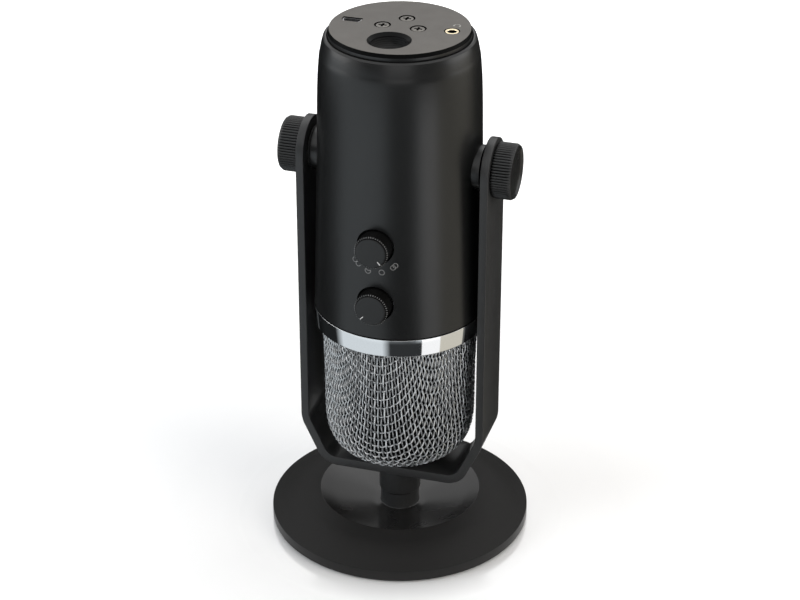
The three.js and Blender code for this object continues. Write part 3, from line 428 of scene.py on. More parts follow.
def make_finishes():
    """Makes every finish of the object once."""
    tones = settings("colours")
    # Colour, grain and relief in millimetres, roughness, then gloss and spread of the colour
    paints = {
        "cast_black": (tones.cast_black, 0.42, 0.05, 0.56, 0.18),
        "dish_black": (tones.cast_black, 0.42, 0.006, 0.27, 0.5),
        "rim_black": (tones.cast_black, 0.42, 0.012, 0.34, 0.22),
        "stand_black": (tones.stand_black, 0.25, 0.012, 0.36, 0.4),
        "housing_black": (tones.housing_black, 0.16, 0.003, 0.31, 0.55, 0.05),
        # Painted shade black: housing black at half, for the plate's bevelled edge, its holes' walls, the
        # screws' recesses and lower sides, and the jack's bore
        "plate_side_black": (times(tones.housing_black, 0.5), 0.2, 0.01, 0.5, 0.04),
        "bush_black": (times(tones.housing_black, 0.9), 0.2, 0.004, 0.34, 0.1),
        "control_black": (tones.control_black, 0.14, 0.006, 0.32, 0.38),
        "screw_black": (tones.control_black, 0.14, 0.006, 0.28, 0.5),
        # Knurl shade black is control black at a third: painted shade on the knobs' sides and in the grooves
        # between ridges
        "knurl_black": (times(tones.control_black, 0.3), 0.14, 0.004, 0.4, 0.04),
        # Painted highlight: control black nine times lighter, on the knurl's tips round the knob's bevel
        "knurl_tip": (times(tones.control_black, 9), 0.14, 0.004, 0.3, 1),
        "print_grey": ((0.32, 0.315, 0.3), 0.1, 0.003, 0.6, 0.3),
        "mark_grey": (tones.mark_grey, 0.1, 0.003, 0.6, 0.4),
        "pointer_white": (tones.pointer_white, 0.1, 0.003, 0.5, 0.4),
        "rubber": ((0.011, 0.011, 0.011), 0.3, 0.04, 0.75, 0.3, 0.3),
        "plastic": ((0.012, 0.012, 0.013), 0.25, 0.02, 0.5, 0.45),
    }
    # Colour, grain and relief in millimetres, roughness, then metallic and spread of the colour
    metals = {
        "plate_grey": (tones.plate_grey, 0.22, 0.02, 0.5, 0.35, 0.16),
        "screw_grey": (times(tones.plate_grey, 1.5), 0.2, 0.01, 0.4, 0.5, 0.1),
        "chrome": (tones.chrome, 0.6, 0.0006, 0.06, 1.0, 0.02),
        "wire_silver": (tones.wire_silver, 0.5, 0.01, 0.34, 1.0, 0.12),
        "steel": ((0.5, 0.5, 0.51), 0.15, 0.006, 0.3),
        "gold": (tones.gold, 0.2, 0.003, 0.2, 1.0, 0.05),
        "aluminium": ((0.6, 0.605, 0.61), 0.2, 0.012, 0.4),
    }
    for make, table in ((painted, paints), (metal, metals)):
        for name, (rgb, grain, depth, *rest) in table.items():
            finishes[name] = make(name, rgb, grain * MM, depth * MM, *rest)
    finishes["foam"] = foam("foam", (0.006, 0.006, 0.0065))
    finishes["circuit"] = circuit("circuit")


# Outlines and meshes


def rounded(corners, steps=4):
    """Outline through (x, y, round) corners; a round of zero leaves a corner sharp."""
    most_of_side = 0.49
    outline = []
    for place, (x, y, radius) in enumerate(corners):
        here = Vector((x, y))
        if radius == 0:
            outline.append(here)
            continue
        before = Vector(corners[place - 1][:2]) - here
        after = Vector(corners[(place + 1) % len(corners)][:2]) - here
        half = before.angle(after) / 2
        limit = min(before.length * most_of_side, after.length * most_of_side)
        reach = min(radius / math.tan(half), limit)
        radius = reach * math.tan(half)
        before.normalize()
        after.normalize()
        centre = here + (before + after).normalized() * (radius / math.sin(half))
        first = here + before * reach - centre
        last = here + after * reach - centre
        turn = first.angle(last)
        for step in range(steps + 1):
            share = step / steps
            spoke = first * math.sin((1 - share) * turn) + last * math.sin(share * turn)
            outline.append(centre + spoke / math.sin(turn))
    return outline


def bowed(first, pull, last, steps=12):
    """Points of a bow from the first to the last point, drawn towards pull."""
    points = []
    for step in range(1, steps):
        share = step / steps
        start = Vector(first) * (1 - share) ** 2
        points.append(start + Vector(pull) * 2 * share * (1 - share) + Vector(last) * share**2)
    return points


def through(points, steps=6):
    """Smooth curve through points."""
    ends = [points[0] * 2 - points[1], *points, points[-1] * 2 - points[-2]]
    curve = []
    for a, b, c, d in zip(ends, ends[1:], ends[2:], ends[3:]):
        for step in range(steps):
            t = step / steps
            bend = a * 2 - b * 5 + c * 4 - d
            twist = b * 3 - a - c * 3 + d
            curve.append(b + (c - a) * (t / 2) + bend * (t * t / 2) + twist * (t**3 / 2))
    return [*curve, points[-1]]


def circle(radius, sides):
    angles = (FULL_TURN * side / sides for side in range(sides))
    return [(radius * math.cos(a), radius * math.sin(a)) for a in angles]


def arc(centre, radius, start, end, steps=24):
    angles = (start + (end - start) * step / steps for step in range(steps + 1))
    return [Vector((centre[0] + radius * math.cos(a), centre[1] + radius * math.sin(a))) for a in angles]


def oblong(width, depth):
    x, y = width / 2, depth / 2
    return [(-x, -y), (x, -y), (x, y), (-x, y)]


def lathe(outline, sides, ring=False):
    """Corners and faces of an outline of (radius, height) turned about Z."""
    corners, faces, rows = [], [], []
    for radius, height in outline:
        start = len(corners)
        if radius < MERGE_DISTANCE:
            corners.append((0, 0, height))
        else:
            corners += [(x, y, height) for x, y in circle(radius, sides)]
        rows.append(range(start, len(corners)))
    for below, above in zip(rows, [*rows[1:], *(rows[:1] if ring else [])]):
        for side in range(sides):
            after = (side + 1) % sides
            spots = ((below, side), (below, after), (above, after), (above, side))
            face = list(dict.fromkeys(row[spot % len(row)] for row, spot in spots))
            if len(face) > 2:
                faces.append(face)
    return corners, faces


def prism(outline, bottom, top):
    """Corners and faces of a flat outline raised from bottom to top."""
    size = len(outline)
    corners = [(x, y, z) for z in (bottom, top) for x, y in outline]
    faces = [[n, (n + 1) % size, (n + 1) % size + size, n + size] for n in range(size)]
    faces += [list(reversed(range(size))), list(range(size, size * 2))]
    return corners, faces


def ribbon(points, width, thickness, looped):
    """Flat line of a width through 2-D points, with its thickness."""
    size = len(points)
    corners, faces = [], []
    for place, point in enumerate(points):
        before = points[place - 1] if looped or place else point
        after = points[(place + 1) % size] if looped or place < size - 1 else point
        side = (after - before).normalized().orthogonal() * (width / 2)
        for edge, height in ((side, 0), (side, thickness), (-side, thickness), (-side, 0)):
            corners.append((point.x + edge.x, point.y + edge.y, height))
    for place in range(size if looped else size - 1):
        first, second = place * 4, (place + 1) % size * 4
        for edge in range(4):
            after = (edge + 1) % 4
            faces.append([first + edge, first + after, second + after, second + edge])
    if not looped:
        last = size * 4 - 1
        faces += [[0, 1, 2, 3], [last, last - 1, last - 2, last - 3]]
    return corners, faces


def merged(shapes):
    """Corners and faces of several shapes as one."""
    corners, faces = [], []
    for more_corners, more_faces in shapes:
        start = len(corners)
        corners += more_corners
        faces += [[start + corner for corner in face] for face in more_faces]
    return corners, faces


def tidy_mesh(mesh, merge=True):
    """Merges doubles, turns faces outwards and sets smooth shading with creases."""
    work = bmesh.new()
    work.from_mesh(mesh)
    if merge:
        bmesh.ops.remove_doubles(work, verts=work.verts, dist=MERGE_DISTANCE)
        bmesh.ops.recalc_face_normals(work, faces=work.faces)
    work.to_mesh(mesh)
    work.free()
    mesh.shade_smooth()
    mesh.set_sharp_from_angle(angle=CREASE_ANGLE)


def new_mesh(name, corners, faces=(), edges=()):
    mesh = bpy.data.meshes.new(name)
    mesh.from_pydata([tuple(corner) for corner in corners], list(edges), list(faces))
    return mesh


def linked(name, data):
    """A new object in the scene."""
    item = bpy.data.objects.new(name, data)
    bpy.context.scene.collection.objects.link(item)
    return item


def new_piece(name, shape, finish, place=None):
    """An object at the origin from corners and faces, moved to its place in its mesh."""
    mesh = new_mesh(name, *shape)
    if place is not None:
        mesh.transform(place)
    tidy_mesh(mesh)
    mesh.materials.append(finishes[finish])
    return linked(name, mesh)


def hole(outline, bottom, top, place, finish):
    return new_piece("hole", prism(outline, bottom, top), finish, place)


def drop(piece):
    mesh = piece.data
    bpy.data.objects.remove(piece)
    if mesh.users == 0:
        bpy.data.meshes.remove(mesh)


def settle(piece):
    """Applies a piece's modifiers to its mesh."""
    graph = bpy.context.evaluated_depsgraph_get()
    mesh = bpy.data.meshes.new_from_object(piece.evaluated_get(graph))
    old = piece.data
    piece.modifiers.clear()
    piece.data = mesh
    bpy.data.meshes.remove(old)
    mesh.name = piece.name


def cut(piece, *cutters):
    """Cuts holes in the shape of the cutters, which are used up."""
    for cutter in cutters:
        modifier = piece.modifiers.new("hole", "BOOLEAN")
        modifier.operation = "DIFFERENCE"
        modifier.solver = "EXACT"
        modifier.object = cutter
    settle(piece)
    for cutter in cutters:
        drop(cutter)
    tidy_mesh(piece.data)


def joined(name, *pieces):
    """One piece from several solids that stay apart or touch."""
    target = pieces[0]
    work = bmesh.new()
    slots = []
    for piece in pieces:
        start = len(work.faces)
        work.from_mesh(piece.data)
        work.faces.ensure_lookup_table()
        for face in work.faces[start:]:
            material = piece.data.materials[face.material_index]
            if material not in slots:
                slots.append(material)
            face.material_index = slots.index(material)
    target.data.materials.clear()
    for material in slots:
        target.data.materials.append(material)
    work.to_mesh(target.data)
    work.free()
    for piece in pieces[1:]:
        drop(piece)
    target.name = name
    target.data.name = name
    return target


def repaint(piece, finish, chosen, axis=(0, 0)):
    """Another finish for the faces that chosen picks.

    It is told a face's distance from the axis, its height and how level it lies, from 0 to 1.
    """
    piece.data.materials.append(finishes[finish])
    slot = len(piece.data.materials) - 1
    for face in piece.data.polygons:
        out = math.hypot(face.center.x - axis[0], face.center.y - axis[1])
        if chosen(out, face.center.z, abs(face.normal.z)):
            face.material_index = slot


def cad(piece, body, slot, *nodes):
    """Hands a finished piece over to the frame."""
    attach(piece, body)
    if nodes:
        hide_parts(*nodes)


def dress(node, finish):
    """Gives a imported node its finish."""
    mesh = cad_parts[node].data
    mesh.materials.clear()
    mesh.materials.append(finishes[finish])
    for face in mesh.polygons:
        face.material_index = 0


# Geometry Nodes


SOCKET_KINDS = {int: "NodeSocketInt", float: "NodeSocketFloat", bpy.types.Object: "NodeSocketObject"}


def grown(piece, name, build, finish, **inputs):
    """Runs a Geometry Nodes tree on a piece and keeps the result as its plain mesh."""
    tree = bpy.data.node_groups.new(name, "GeometryNodeTree")
    graph = Graph(tree)
    for direction in ("INPUT", "OUTPUT"):
        tree.interface.new_socket("Geometry", in_out=direction, socket_type="NodeSocketGeometry")
    chosen = {}
    kinds = {title: SOCKET_KINDS[type(value)] for title, value in inputs.items()}
    given = {**inputs, "finish": finishes[finish]}
    for title, value in given.items():
        kind = kinds.get(title, "NodeSocketMaterial")
        socket = tree.interface.new_socket(title.replace("_", " "), in_out="INPUT", socket_type=kind)
        chosen[socket.identifier] = value
    start = graph.add("NodeGroupInput")
    values = {title: start.output(title.replace("_", " ")) for title in inputs}
    made = build(graph, start, **values)
    solid = graph.add("GeometryNodeRealizeInstances", {}, {0: made})
    coat = {"Geometry": solid, "Material": start.output("finish")}
    graph.add("NodeGroupOutput", {}, {0: graph.add("GeometryNodeSetMaterial", {}, coat)})
    modifier = piece.modifiers.new(name, "NODES")
    modifier.node_group = tree
    for identifier, value in chosen.items():
        modifier[identifier] = value
    settle(piece)
    tidy_mesh(piece.data, merge=False)


def position(graph):
    return graph.parts(graph.add("GeometryNodeInputPosition"))


def without(graph, geometry, domain, mode, selection):
    values = {"Geometry": geometry, "Selection": selection}
    return graph.add("GeometryNodeDeleteGeometry", {"domain": domain, "mode": mode}, values)


def piped(graph, lines, sides, radius):
    """Round wires along lines."""
    around = {"Resolution": sides, "Radius": radius}
    section = graph.add("GeometryNodeCurvePrimitiveCircle", {"mode": "RADIUS"}, around)
    values = {"Curve": lines, "Profile Curve": section, "Fill Caps": True}
    return graph.add("GeometryNodeCurveToMesh", {}, values)


def wire_weave(graph, start, wires, spacing_at_crown, spacing_at_side, drawn_from, radius,
               sway, across, steps, sides):
    """Wires of a flat weave, drawn over the outline that the piece holds as edges."""
    reach = wires * 2
    grid = {"Size X": reach, "Size Y": reach, "Vertices X": reach + 1, "Vertices Y": reach * steps + 1}
    sheet = graph.add("GeometryNodeMeshGrid", {}, grid)
    ends = graph.add("GeometryNodeInputMeshEdgeVertices", output="Position 1")
    near_x, _, _ = graph.parts(ends)
    far_x, _, _ = graph.parts(ends.output("Position 2"))
    strands = without(graph, sheet, "EDGE", "EDGE_FACE", (near_x - far_x).size() > 0.5)
    x, y, _ = position(graph)
    away = (x * x + y * y) ** 0.5
    strands = without(graph, strands, "POINT", "ALL", away > wires)
    drawn = away.least(drawn_from)
    growth = (spacing_at_side - spacing_at_crown) * drawn * drawn * drawn / (drawn_from * drawn_from * 3)
    along = spacing_at_crown * drawn + growth + spacing_at_side * (away - drawn_from).most(0)
    outline = graph.add("GeometryNodeMeshToCurve", {}, {"Mesh": start})
    spot = graph.add(
        "GeometryNodeSampleCurve",
        {"mode": "LENGTH", "use_all_curves": True},
        {"Curves": outline, "Length": along},
        output="Position",
    )
    spot_radius, _, spot_height = graph.parts(spot)
    tangent_out, _, tangent_up = graph.parts(spot.output("Tangent"))
    wave = (math.pi * (x + y)).cosine() * sway
    whole = away.most(TINY)
    toward_x = (x + (y - x) * across) / whole
    toward_y = (y + (x - y) * across) / whole
    out = spot_radius + tangent_up * wave
    place = graph.vector(out * toward_x, 0 - out * toward_y, spot_height - tangent_out * wave)
    strands = graph.add("GeometryNodeSetPosition", {}, {"Geometry": strands, "Position": place})
    return piped(graph, graph.add("GeometryNodeMeshToCurve", {}, {"Mesh": strands}), sides, radius)


def grip_offset(graph, start, depth):
    """Moves the grip's points in towards the axis by a depth."""
    x, y, _ = position(graph)
    radius = ((x * x + y * y) ** 0.5).most(TINY)
    grip = graph.add("GeometryNodeInputNamedAttribute", {"data_type": "FLOAT"}, {"Name": "grip"})
    shift = depth * grip / radius
    offset = graph.vector(0 - x * shift, 0 - y * shift, 0)
    return graph.add("GeometryNodeSetPosition", {}, {"Geometry": start, "Offset": offset})


def turned_share(graph, ridges):
    """How far round the axis a point is, in ridges."""
    x, y, _ = position(graph)
    return y.turn_from(x) * ridges / FULL_TURN


def straight_ridges(graph, start, ridges, depth):
    """Rounded straight ridges round a turned piece."""
    wave = (turned_share(graph, ridges) * math.pi).sine().size()
    return grip_offset(graph, start, depth * (1 - wave))


def diamond_knurl(graph, start, knurls, rows, knurl_start, knurl_length, depth):
    """Diamond knurl round a turned piece; past its end the grooves run straight on."""
    _, _, z = position(graph)
    along = ((z - knurl_start) / knurl_length).least(1) * rows
    share = turned_share(graph, knurls)
    left = ((share + along).fraction() * 2 - 1).size()
    right = ((share - along).fraction() * 2 - 1).size()
    return grip_offset(graph, start, depth * (1 - left).most(1 - right))


def screw_thread(graph, start, radius, pitch, turns, depth, steps):
    """Helical ridge on the wall of a bore."""
    spiral = {
        "Resolution": steps,
        "Rotations": turns,
        "Start Radius": radius,
        "End Radius": radius,
        "Height": turns * pitch,
    }
    return piped(graph, graph.add("GeometryNodeCurveSpiral", {}, spiral), 3, depth)


def copies(graph, start, source):
    """A copy of the source at each of the piece's points."""
    choices = {"transform_space": "ORIGINAL"}
    info = graph.add("GeometryNodeObjectInfo", choices, {"Object": source}, output="Geometry")
    return graph.add("GeometryNodeInstanceOnPoints", {}, {"Points": start, "Instance": info})


def mark_grip(piece, share_of):
    """Stores how deep the grip is at each point, from its distance from the axis and its height."""
    attribute = piece.data.attributes.new("grip", "FLOAT", "POINT")
    for point, value in zip(piece.data.vertices, attribute.data):
        value.value = share_of(math.hypot(point.co.x, point.co.y), point.co.z)


# Shapes shared by several pieces


def housing_radius(height):
    """Radius of the housing's outside at a height."""
    share = (height - HOUSING_FOOT) / (HOUSING_LIP - HOUSING_FOOT)
    for (low_share, low_radius), (high_share, high_radius) in zip(HOUSING_SHARES, HOUSING_SHARES[1:]):
        if share <= high_share:
            along = (share - low_share) / (high_share - low_share)
            return HOUSING_RADIUS * (low_radius + (high_radius - low_radius) * along)
    return HOUSING_RADIUS * HOUSING_SHARES[-1][1]


def grille_outline(inset):
    """Outside of the grille from its tip up into the trim ring, at an inset."""
    side_radius, depth, squareness = 32.4 * MM, 27.9 * MM, 3.5
    taper, collar = 1.2 * MM, 4 * MM
    dome_steps, side_steps, collar_share = 40, 12, 0.85
    top = GRILLE_TIP + depth
    points = []
    for step in range(dome_steps + 1):
        angle = QUARTER_TURN * step / dome_steps
        out = max(0, math.sin(angle)) ** (2 / squareness)
        down = max(0, math.cos(angle)) ** (2 / squareness) if step < dome_steps else 0
        points.append(Vector(((side_radius - inset) * out, top - (depth - inset) * down)))
    for step in range(1, side_steps + 1):
        share = step / side_steps
        points.append(Vector((side_radius + taper * share**3 - inset, top + (GRILLE_EDGE - top) * share)))
    points.append(Vector((side_radius + taper - inset, GRILLE_EDGE + collar * collar_share)))
    return points


def print_on_housing(name, shapes, node, facing):
    """Prints flat shapes round a knob's axis, on the housing's front (-1) or back (1)."""
    flat, faces = merged(shapes)
    axis_height = middle(node, "Z")
    corners = []
    for x, y, lift in flat:
        height = axis_height + y
        radius = housing_radius(height)
        out = radius + lift + MARK_LIFT
        corners.append((out * math.sin(x / radius), facing * out * math.cos(x / radius), height))
    cad(new_piece(name, (corners, faces), "mark_grey"), "microphone", "housing_black")


# Operators


class DESKMIC_OT_finishes(bpy.types.Operator):
    """Make the finishes"""

    bl_idname = "desk_mic.finishes"
    bl_label = "Finishes"

    def execute(self, context):
        make_finishes()
        return {"FINISHED"}


class DESKMIC_OT_base(bpy.types.Operator):
    """Build the cast base, its foot ring and the collar on it"""

    bl_idname = "desk_mic.base"
    bl_label = "Base"

    def execute(self, context):
        self.casting(settings("stand"))
        self.foot_ring()
        self.collar(settings("stand"))
        for node in ("base_bolt", "bolt_washer"):
            dress(node, "steel")
        return {"FINISHED"}

    def casting(self, sizes):
        """Round base with a raised ring, a dish and a neck."""
        radius, lift, neck_height = high("base_plate", "X"), low("base_plate", "Z"), high("base_plate", "Z")
        rim_height, ridge_height, floor, neck = 5.44 * MM, 12.5 * MM, 5.5 * MM, 8.4 * MM
        foot_bevel, slope_run, slope_rise, slope_bow = 0.6 * MM, 4 * MM, 1.45 * MM, 1.4 * MM
        crest_run, outer_drop, inner_drop, dish_sag = 5 * MM, 1.35 * MM, 1.8 * MM, 0.3 * MM
        recess_radius, recess_top, head_radius, head_top = 52.3 * MM, 2 * MM, 6.3 * MM, 7 * MM
        inward, rim_band, neck_band, dish_start, rim_level = 40 * MM, 0.5 * MM, 0.2 * MM, 7 * MM, 0.5
        ridge = sizes.ridge_radius
        halfway = ((radius + ridge) / 2, (rim_height + ridge_height) / 2 + slope_bow)
        wall_pull = ((ridge + sizes.dish_floor_radius) / 2, (ridge_height + floor) / 2 - dish_sag)
        rim = [
            (inward, lift, 0),
            (radius - foot_bevel, lift, 0.2 * MM),
            (radius, lift + foot_bevel, 0.4 * MM),
            (radius, rim_height, sizes.rim_round),
            (radius - slope_run, rim_height + slope_rise, 0),
        ]
        rim = rounded(rim, 5)[1:]
        crest = [
            (ridge + crest_run, ridge_height - outer_drop, 0),
            (ridge, ridge_height, sizes.ridge_round),
            (ridge - crest_run, ridge_height - inner_drop, 0),
        ]
        crest = rounded(crest, 8)
        floor_edge = Vector((sizes.dish_floor_radius, floor))
        foot = Vector((neck + sizes.neck_round, floor))
        outline = [
            (recess_radius, lift),
            *rim,
            *bowed(rim[-1], halfway, crest[0]),
            *crest,
            *bowed(crest[-1], wall_pull, floor_edge, 10),
            floor_edge,
            foot,
            *bowed(foot, (neck, floor), (neck, floor + sizes.neck_round), 5),
            (neck, floor + sizes.neck_round),
            (neck, neck_height),
            (BOLT_BORE, neck_height),
            (BOLT_BORE, head_top),
            (head_radius, head_top),
            (head_radius, recess_top),
            (recess_radius, recess_top),
        ]
        base = new_piece("base_casting", lathe(outline, sizes.sides, ring=True), "cast_black")
        for finish, edge in (("dish_black", ridge), ("stand_black", neck + neck_band)):
            repaint(base, finish, lambda out, height, level: height > floor - MM and dish_start < out < edge)
        repaint(base, "rim_black", lambda out, height, level: level < rim_level and out > radius - rim_band)
        cad(base, "stand", "stand_black", "base_plate")

    def foot_ring(self):
        """Rubber ring with round grooves."""
        outer, inner, top = high("foot_pad", "X"), 12 * MM, high("foot_pad", "Z")
        groove, inner_lift, rib_count = 0.35 * MM, 0.3 * MM, 16
        rib_start_share, rib_end_share, groove_share = 0.15, 0.75, 0.85
        pitch = (outer - inner) / rib_count
        ribs = [(inner, top), (inner, inner_lift)]
        for rib in range(rib_count):
            start = inner + pitch * rib
            ribs += [(start + pitch * rib_start_share, 0), (start + pitch * rib_end_share, 0)]
            ribs += [(start + pitch * groove_share, groove), (start + pitch, groove)]
        pad = new_piece("foot_ring", lathe([*ribs, (outer, top)], 120, ring=True), "rubber")
        cad(pad, "stand", "rubber", "foot_pad")

    def collar(self, sizes):
        """Spacer between the base and the yoke."""
        radius, bottom, top = high("stem_collar", "X"), low("stem_collar", "Z"), high("stem_collar", "Z")
        bevel = sizes.collar_chamfer
        outline = [(BOLT_BORE, bottom, 0), (radius, bottom, bevel), (radius, top, bevel), (BOLT_BORE, top, 0)]
        stem = new_piece("stem_spacer", lathe(rounded(outline), 96, ring=True), "stand_black")
        cad(stem, "stand", "stand_black", "stem_collar")


class DESKMIC_OT_yoke(bpy.types.Operator):
    """Build the yoke as a flat bar with round heads, bent to a U"""

    bl_idname = "desk_mic.yoke"
    bl_label = "Yoke"

    def execute(self, context):
        stations = self.stations()
        lengths = [0.0]
        for (first, _), (second, _) in zip(stations, stations[1:]):
            lengths.append(lengths[-1] + (second - first).length)
        work = self.flat_bar(lengths[-1])
        for distance in lengths[1:-1]:
            everything = [*work.verts, *work.edges, *work.faces]
            plane = {"plane_co": (distance, 0, 0), "plane_no": (1, 0, 0)}
            bmesh.ops.bisect_plane(work, geom=everything, dist=BISECT_DISTANCE, **plane)
        for corner in work.verts:
            distance, y, share = corner.co
            place = 0
            while place < len(lengths) - 2 and distance > lengths[place + 1]:
                place += 1
            along = (distance - lengths[place]) / (lengths[place + 1] - lengths[place])
            outer, inner = (a.lerp(b, along) for a, b in zip(stations[place], stations[place + 1]))
            x, z = outer.lerp(inner, share)
            corner.co = (x, y, z)
        bmesh.ops.triangulate(work, faces=[face for face in work.faces if len(face.verts) > 4])
        mesh = bpy.data.meshes.new("yoke_bar")
        work.to_mesh(mesh)
        work.free()
        tidy_mesh(mesh)
        mesh.materials.append(finishes["stand_black"])
        yoke = linked("yoke_bar", mesh)
        self.holes(yoke)
        cad(yoke, "stand", "stand_black", "yoke")
        return {"FINISHED"}

    def stations(self):
        """Matching points of the outer and inner side, from one arm head to the other."""
        floor_thickness, slope_thickness = 4 * MM, 3.7 * MM
        slope_run, slope_rise, arm_bend = 10, 21.3, 15 * MM
        foot_bend = settings("stand").foot_bend
        outer_x, foot, crown = high("yoke", "X"), low("yoke", "Z"), high("yoke", "Z")
        inner_x = outer_x - BAR_THICKNESS
        floor_top = foot + floor_thickness
        foot_half, bend = outer_x - slope_run * MM, foot + slope_rise * MM
        slope = math.atan2(slope_run, slope_rise)
        slope_x = foot_half - slope_thickness * math.cos(slope)
        slope_z = foot + slope_thickness * math.sin(slope)
        inner_bend = slope_z + (inner_x - slope_x) / math.tan(slope)
        inner_foot = slope_x + (floor_top - slope_z) * math.tan(slope)
        outer = [(outer_x, crown, 0), (outer_x, bend, arm_bend), (foot_half, foot, foot_bend)]
        inner = [
            (inner_x, crown, 0),
            (inner_x, inner_bend, arm_bend - slope_thickness),
            (inner_foot, floor_top, foot_bend - slope_thickness),
        ]
        sides = []
        for half in (outer, inner):
            mirrored = [(-x, z, radius) for x, z, radius in reversed(half)]
            sides.append(rounded([*half, *mirrored], 14))
        return list(zip(*sides))

    def flat_bar(self, total):
        """The bar before it is bent, with rounded edges; its third measure is a share."""
        half_width, edge = high("yoke", "Y"), settings("stand").edge_round
        head_steps, edge_steps = 40, 4

        def blank(grow):
            radius = half_width - grow
            points = []
            for end, turn in ((half_width, -1), (total - half_width, 1)):
                for step in range(head_steps + 1):
                    angle = -QUARTER_TURN * turn + math.pi * step / head_steps
                    points.append((end + radius * math.cos(angle), radius * math.sin(angle)))
            return points

        layers = []
        for step in range(edge_steps + 1):
            angle = QUARTER_TURN * step / edge_steps
            layers.append((edge * (1 - math.sin(angle)), edge * (1 - math.cos(angle))))
        rings = [(grow, height / BAR_THICKNESS) for grow, height in layers]
        rings += [(grow, 1 - height / BAR_THICKNESS) for grow, height in reversed(layers)]
        work = bmesh.new()
        loops = [[work.verts.new((x, y, share)) for x, y in blank(grow)] for grow, share in rings]
        size = len(loops[0])
        for below, above in zip(loops, loops[1:]):
            for place in range(size):
                after = (place + 1) % size
                work.faces.new([below[place], below[after], above[after], above[place]])
        work.faces.new(list(reversed(loops[0])))
        work.faces.new(loops[-1])
        return work

    def holes(self, yoke):
        """Holes for the tilt screws and the base bolt."""
        reach, pivot_bore, bolt_reach = high("yoke", "X") * 2, 3.4 * MM, 50 * MM
        pivot = at(0, 0, PIVOT_HEIGHT) @ ALONG["+X"]
        pivot_hole = hole(circle(pivot_bore, 48), -reach, reach, pivot, "stand_black")
        cut(yoke, pivot_hole, hole(circle(BOLT_BORE, 48), 0, bolt_reach, None, "stand_black"))


class DESKMIC_OT_housing(bpy.types.Operator):
    """Build the tapered housing with its holes, and the marks round the pattern knob"""

    bl_idname = "desk_mic.housing"
    bl_label = "Housing"

    def execute(self, context):
        height = HOUSING_LIP - HOUSING_FOOT
        wall, foot_bevel, mouth_depth = 2 * MM, 0.25 * MM, 4 * MM
        lip_room, mouth_room = 1.05 * MM, 0.35 * MM
        spots = [(HOUSING_RADIUS * radius, HOUSING_FOOT + height * share) for share, radius in HOUSING_SHARES]
        outside = through([Vector(spot) for spot in spots])
        mouth = high("end_plate", "X") + mouth_room
        inside = [point - Vector((wall, 0)) for point in outside if point.x - wall > mouth]
        lip = [
            (*outside[-1], 0),
            (high("end_plate", "X") + lip_room, HOUSING_LIP, 0.3 * MM),
            (mouth, HOUSING_LIP, 0.15 * MM),
            (mouth, HOUSING_LIP - mouth_depth, 0),
        ]
        outline = [
            (outside[0].x - wall, HOUSING_FOOT),
            (outside[0].x - foot_bevel, HOUSING_FOOT),
            outside[0] + Vector((0, foot_bevel)),
            *outside[1:],
            *rounded(lip)[1:-1],
            (mouth, inside[-1].y),
            *reversed(inside[1:]),
        ]
        housing = new_piece("housing_shell", lathe(outline, 192, ring=True), "housing_black")
        self.holes(housing)
        cad(housing, "microphone", "housing_black", "housing")
        self.marks()
        return {"FINISHED"}

    def holes(self, housing):
        """Holes for the pivot bosses, the knobs and the button."""
        reach, start = HOUSING_RADIUS * 2, 15 * MM
        boss_hole, knob_hole, button_hole = 9.8 * MM, 7.9 * MM, 4.55 * MM
        pivot = at(0, 0, PIVOT_HEIGHT) @ ALONG["+X"]
        cutters = [hole(circle(boss_hole, 96), -reach, reach, pivot, "housing_black")]
        for node, side, radius in (
            ("pattern_knob", "-Y", knob_hole),
            ("gain_knob", "-Y", knob_hole),
            ("volume_knob", "+Y", knob_hole),
            ("mute_button", "+Y", button_hole),
        ):
            place = at(0, 0, middle(node, "Z")) @ ALONG[side]
            cutters.append(hole(circle(radius, 96), start, reach, place, "housing_black"))
        cut(housing, *cutters)

    def marks(self):
        """Pattern pictograms below the pattern knob."""
        sizes = settings("controls")
        small_share, heart_share, tip_share, cup_share, overlap_share = 0.92, 1.08, 0.35, 1.06, 0.66
        cup_from, cup_to, heart_from, heart_to = (math.radians(turn) for turn in (152, 388, 146, 394))
        radius = sizes.mark_size / 2 - sizes.mark_stroke / 2
        small = radius * small_share
        heart = arc((0, 0), radius * heart_share, heart_from, heart_to, 36)
        heart += bowed(heart[-1], (0, -radius * tip_share), heart[0], 16)
        cups = [(arc((side * small * cup_share, 0), small, cup_from, cup_to), False) for side in (-1, 1)]
        pair = [(arc((side * small * overlap_share, 0), small, 0, FULL_TURN)[:-1], True) for side in (-1, 1)]
        ring = arc((0, 0), radius, 0, FULL_TURN)[:-1]
        shapes = []
        for degrees, lines in ((-45, cups), (-15, [(heart, True)]), (15, [(ring, True)]), (45, pair)):
            swing = math.radians(degrees)
            turn = Matrix.Rotation(swing, 2)
            spot = Vector((math.sin(swing), -math.cos(swing))) * sizes.mark_radius
            for points, looped in lines:
                flat, faces = ribbon(points, sizes.mark_stroke, sizes.print_thickness, looped)
                shapes.append(([(*(turn @ Vector((x, y)) + spot), lift) for x, y, lift in flat], faces))
        print_on_housing("pattern_marks", shapes, "pattern_knob", -1)


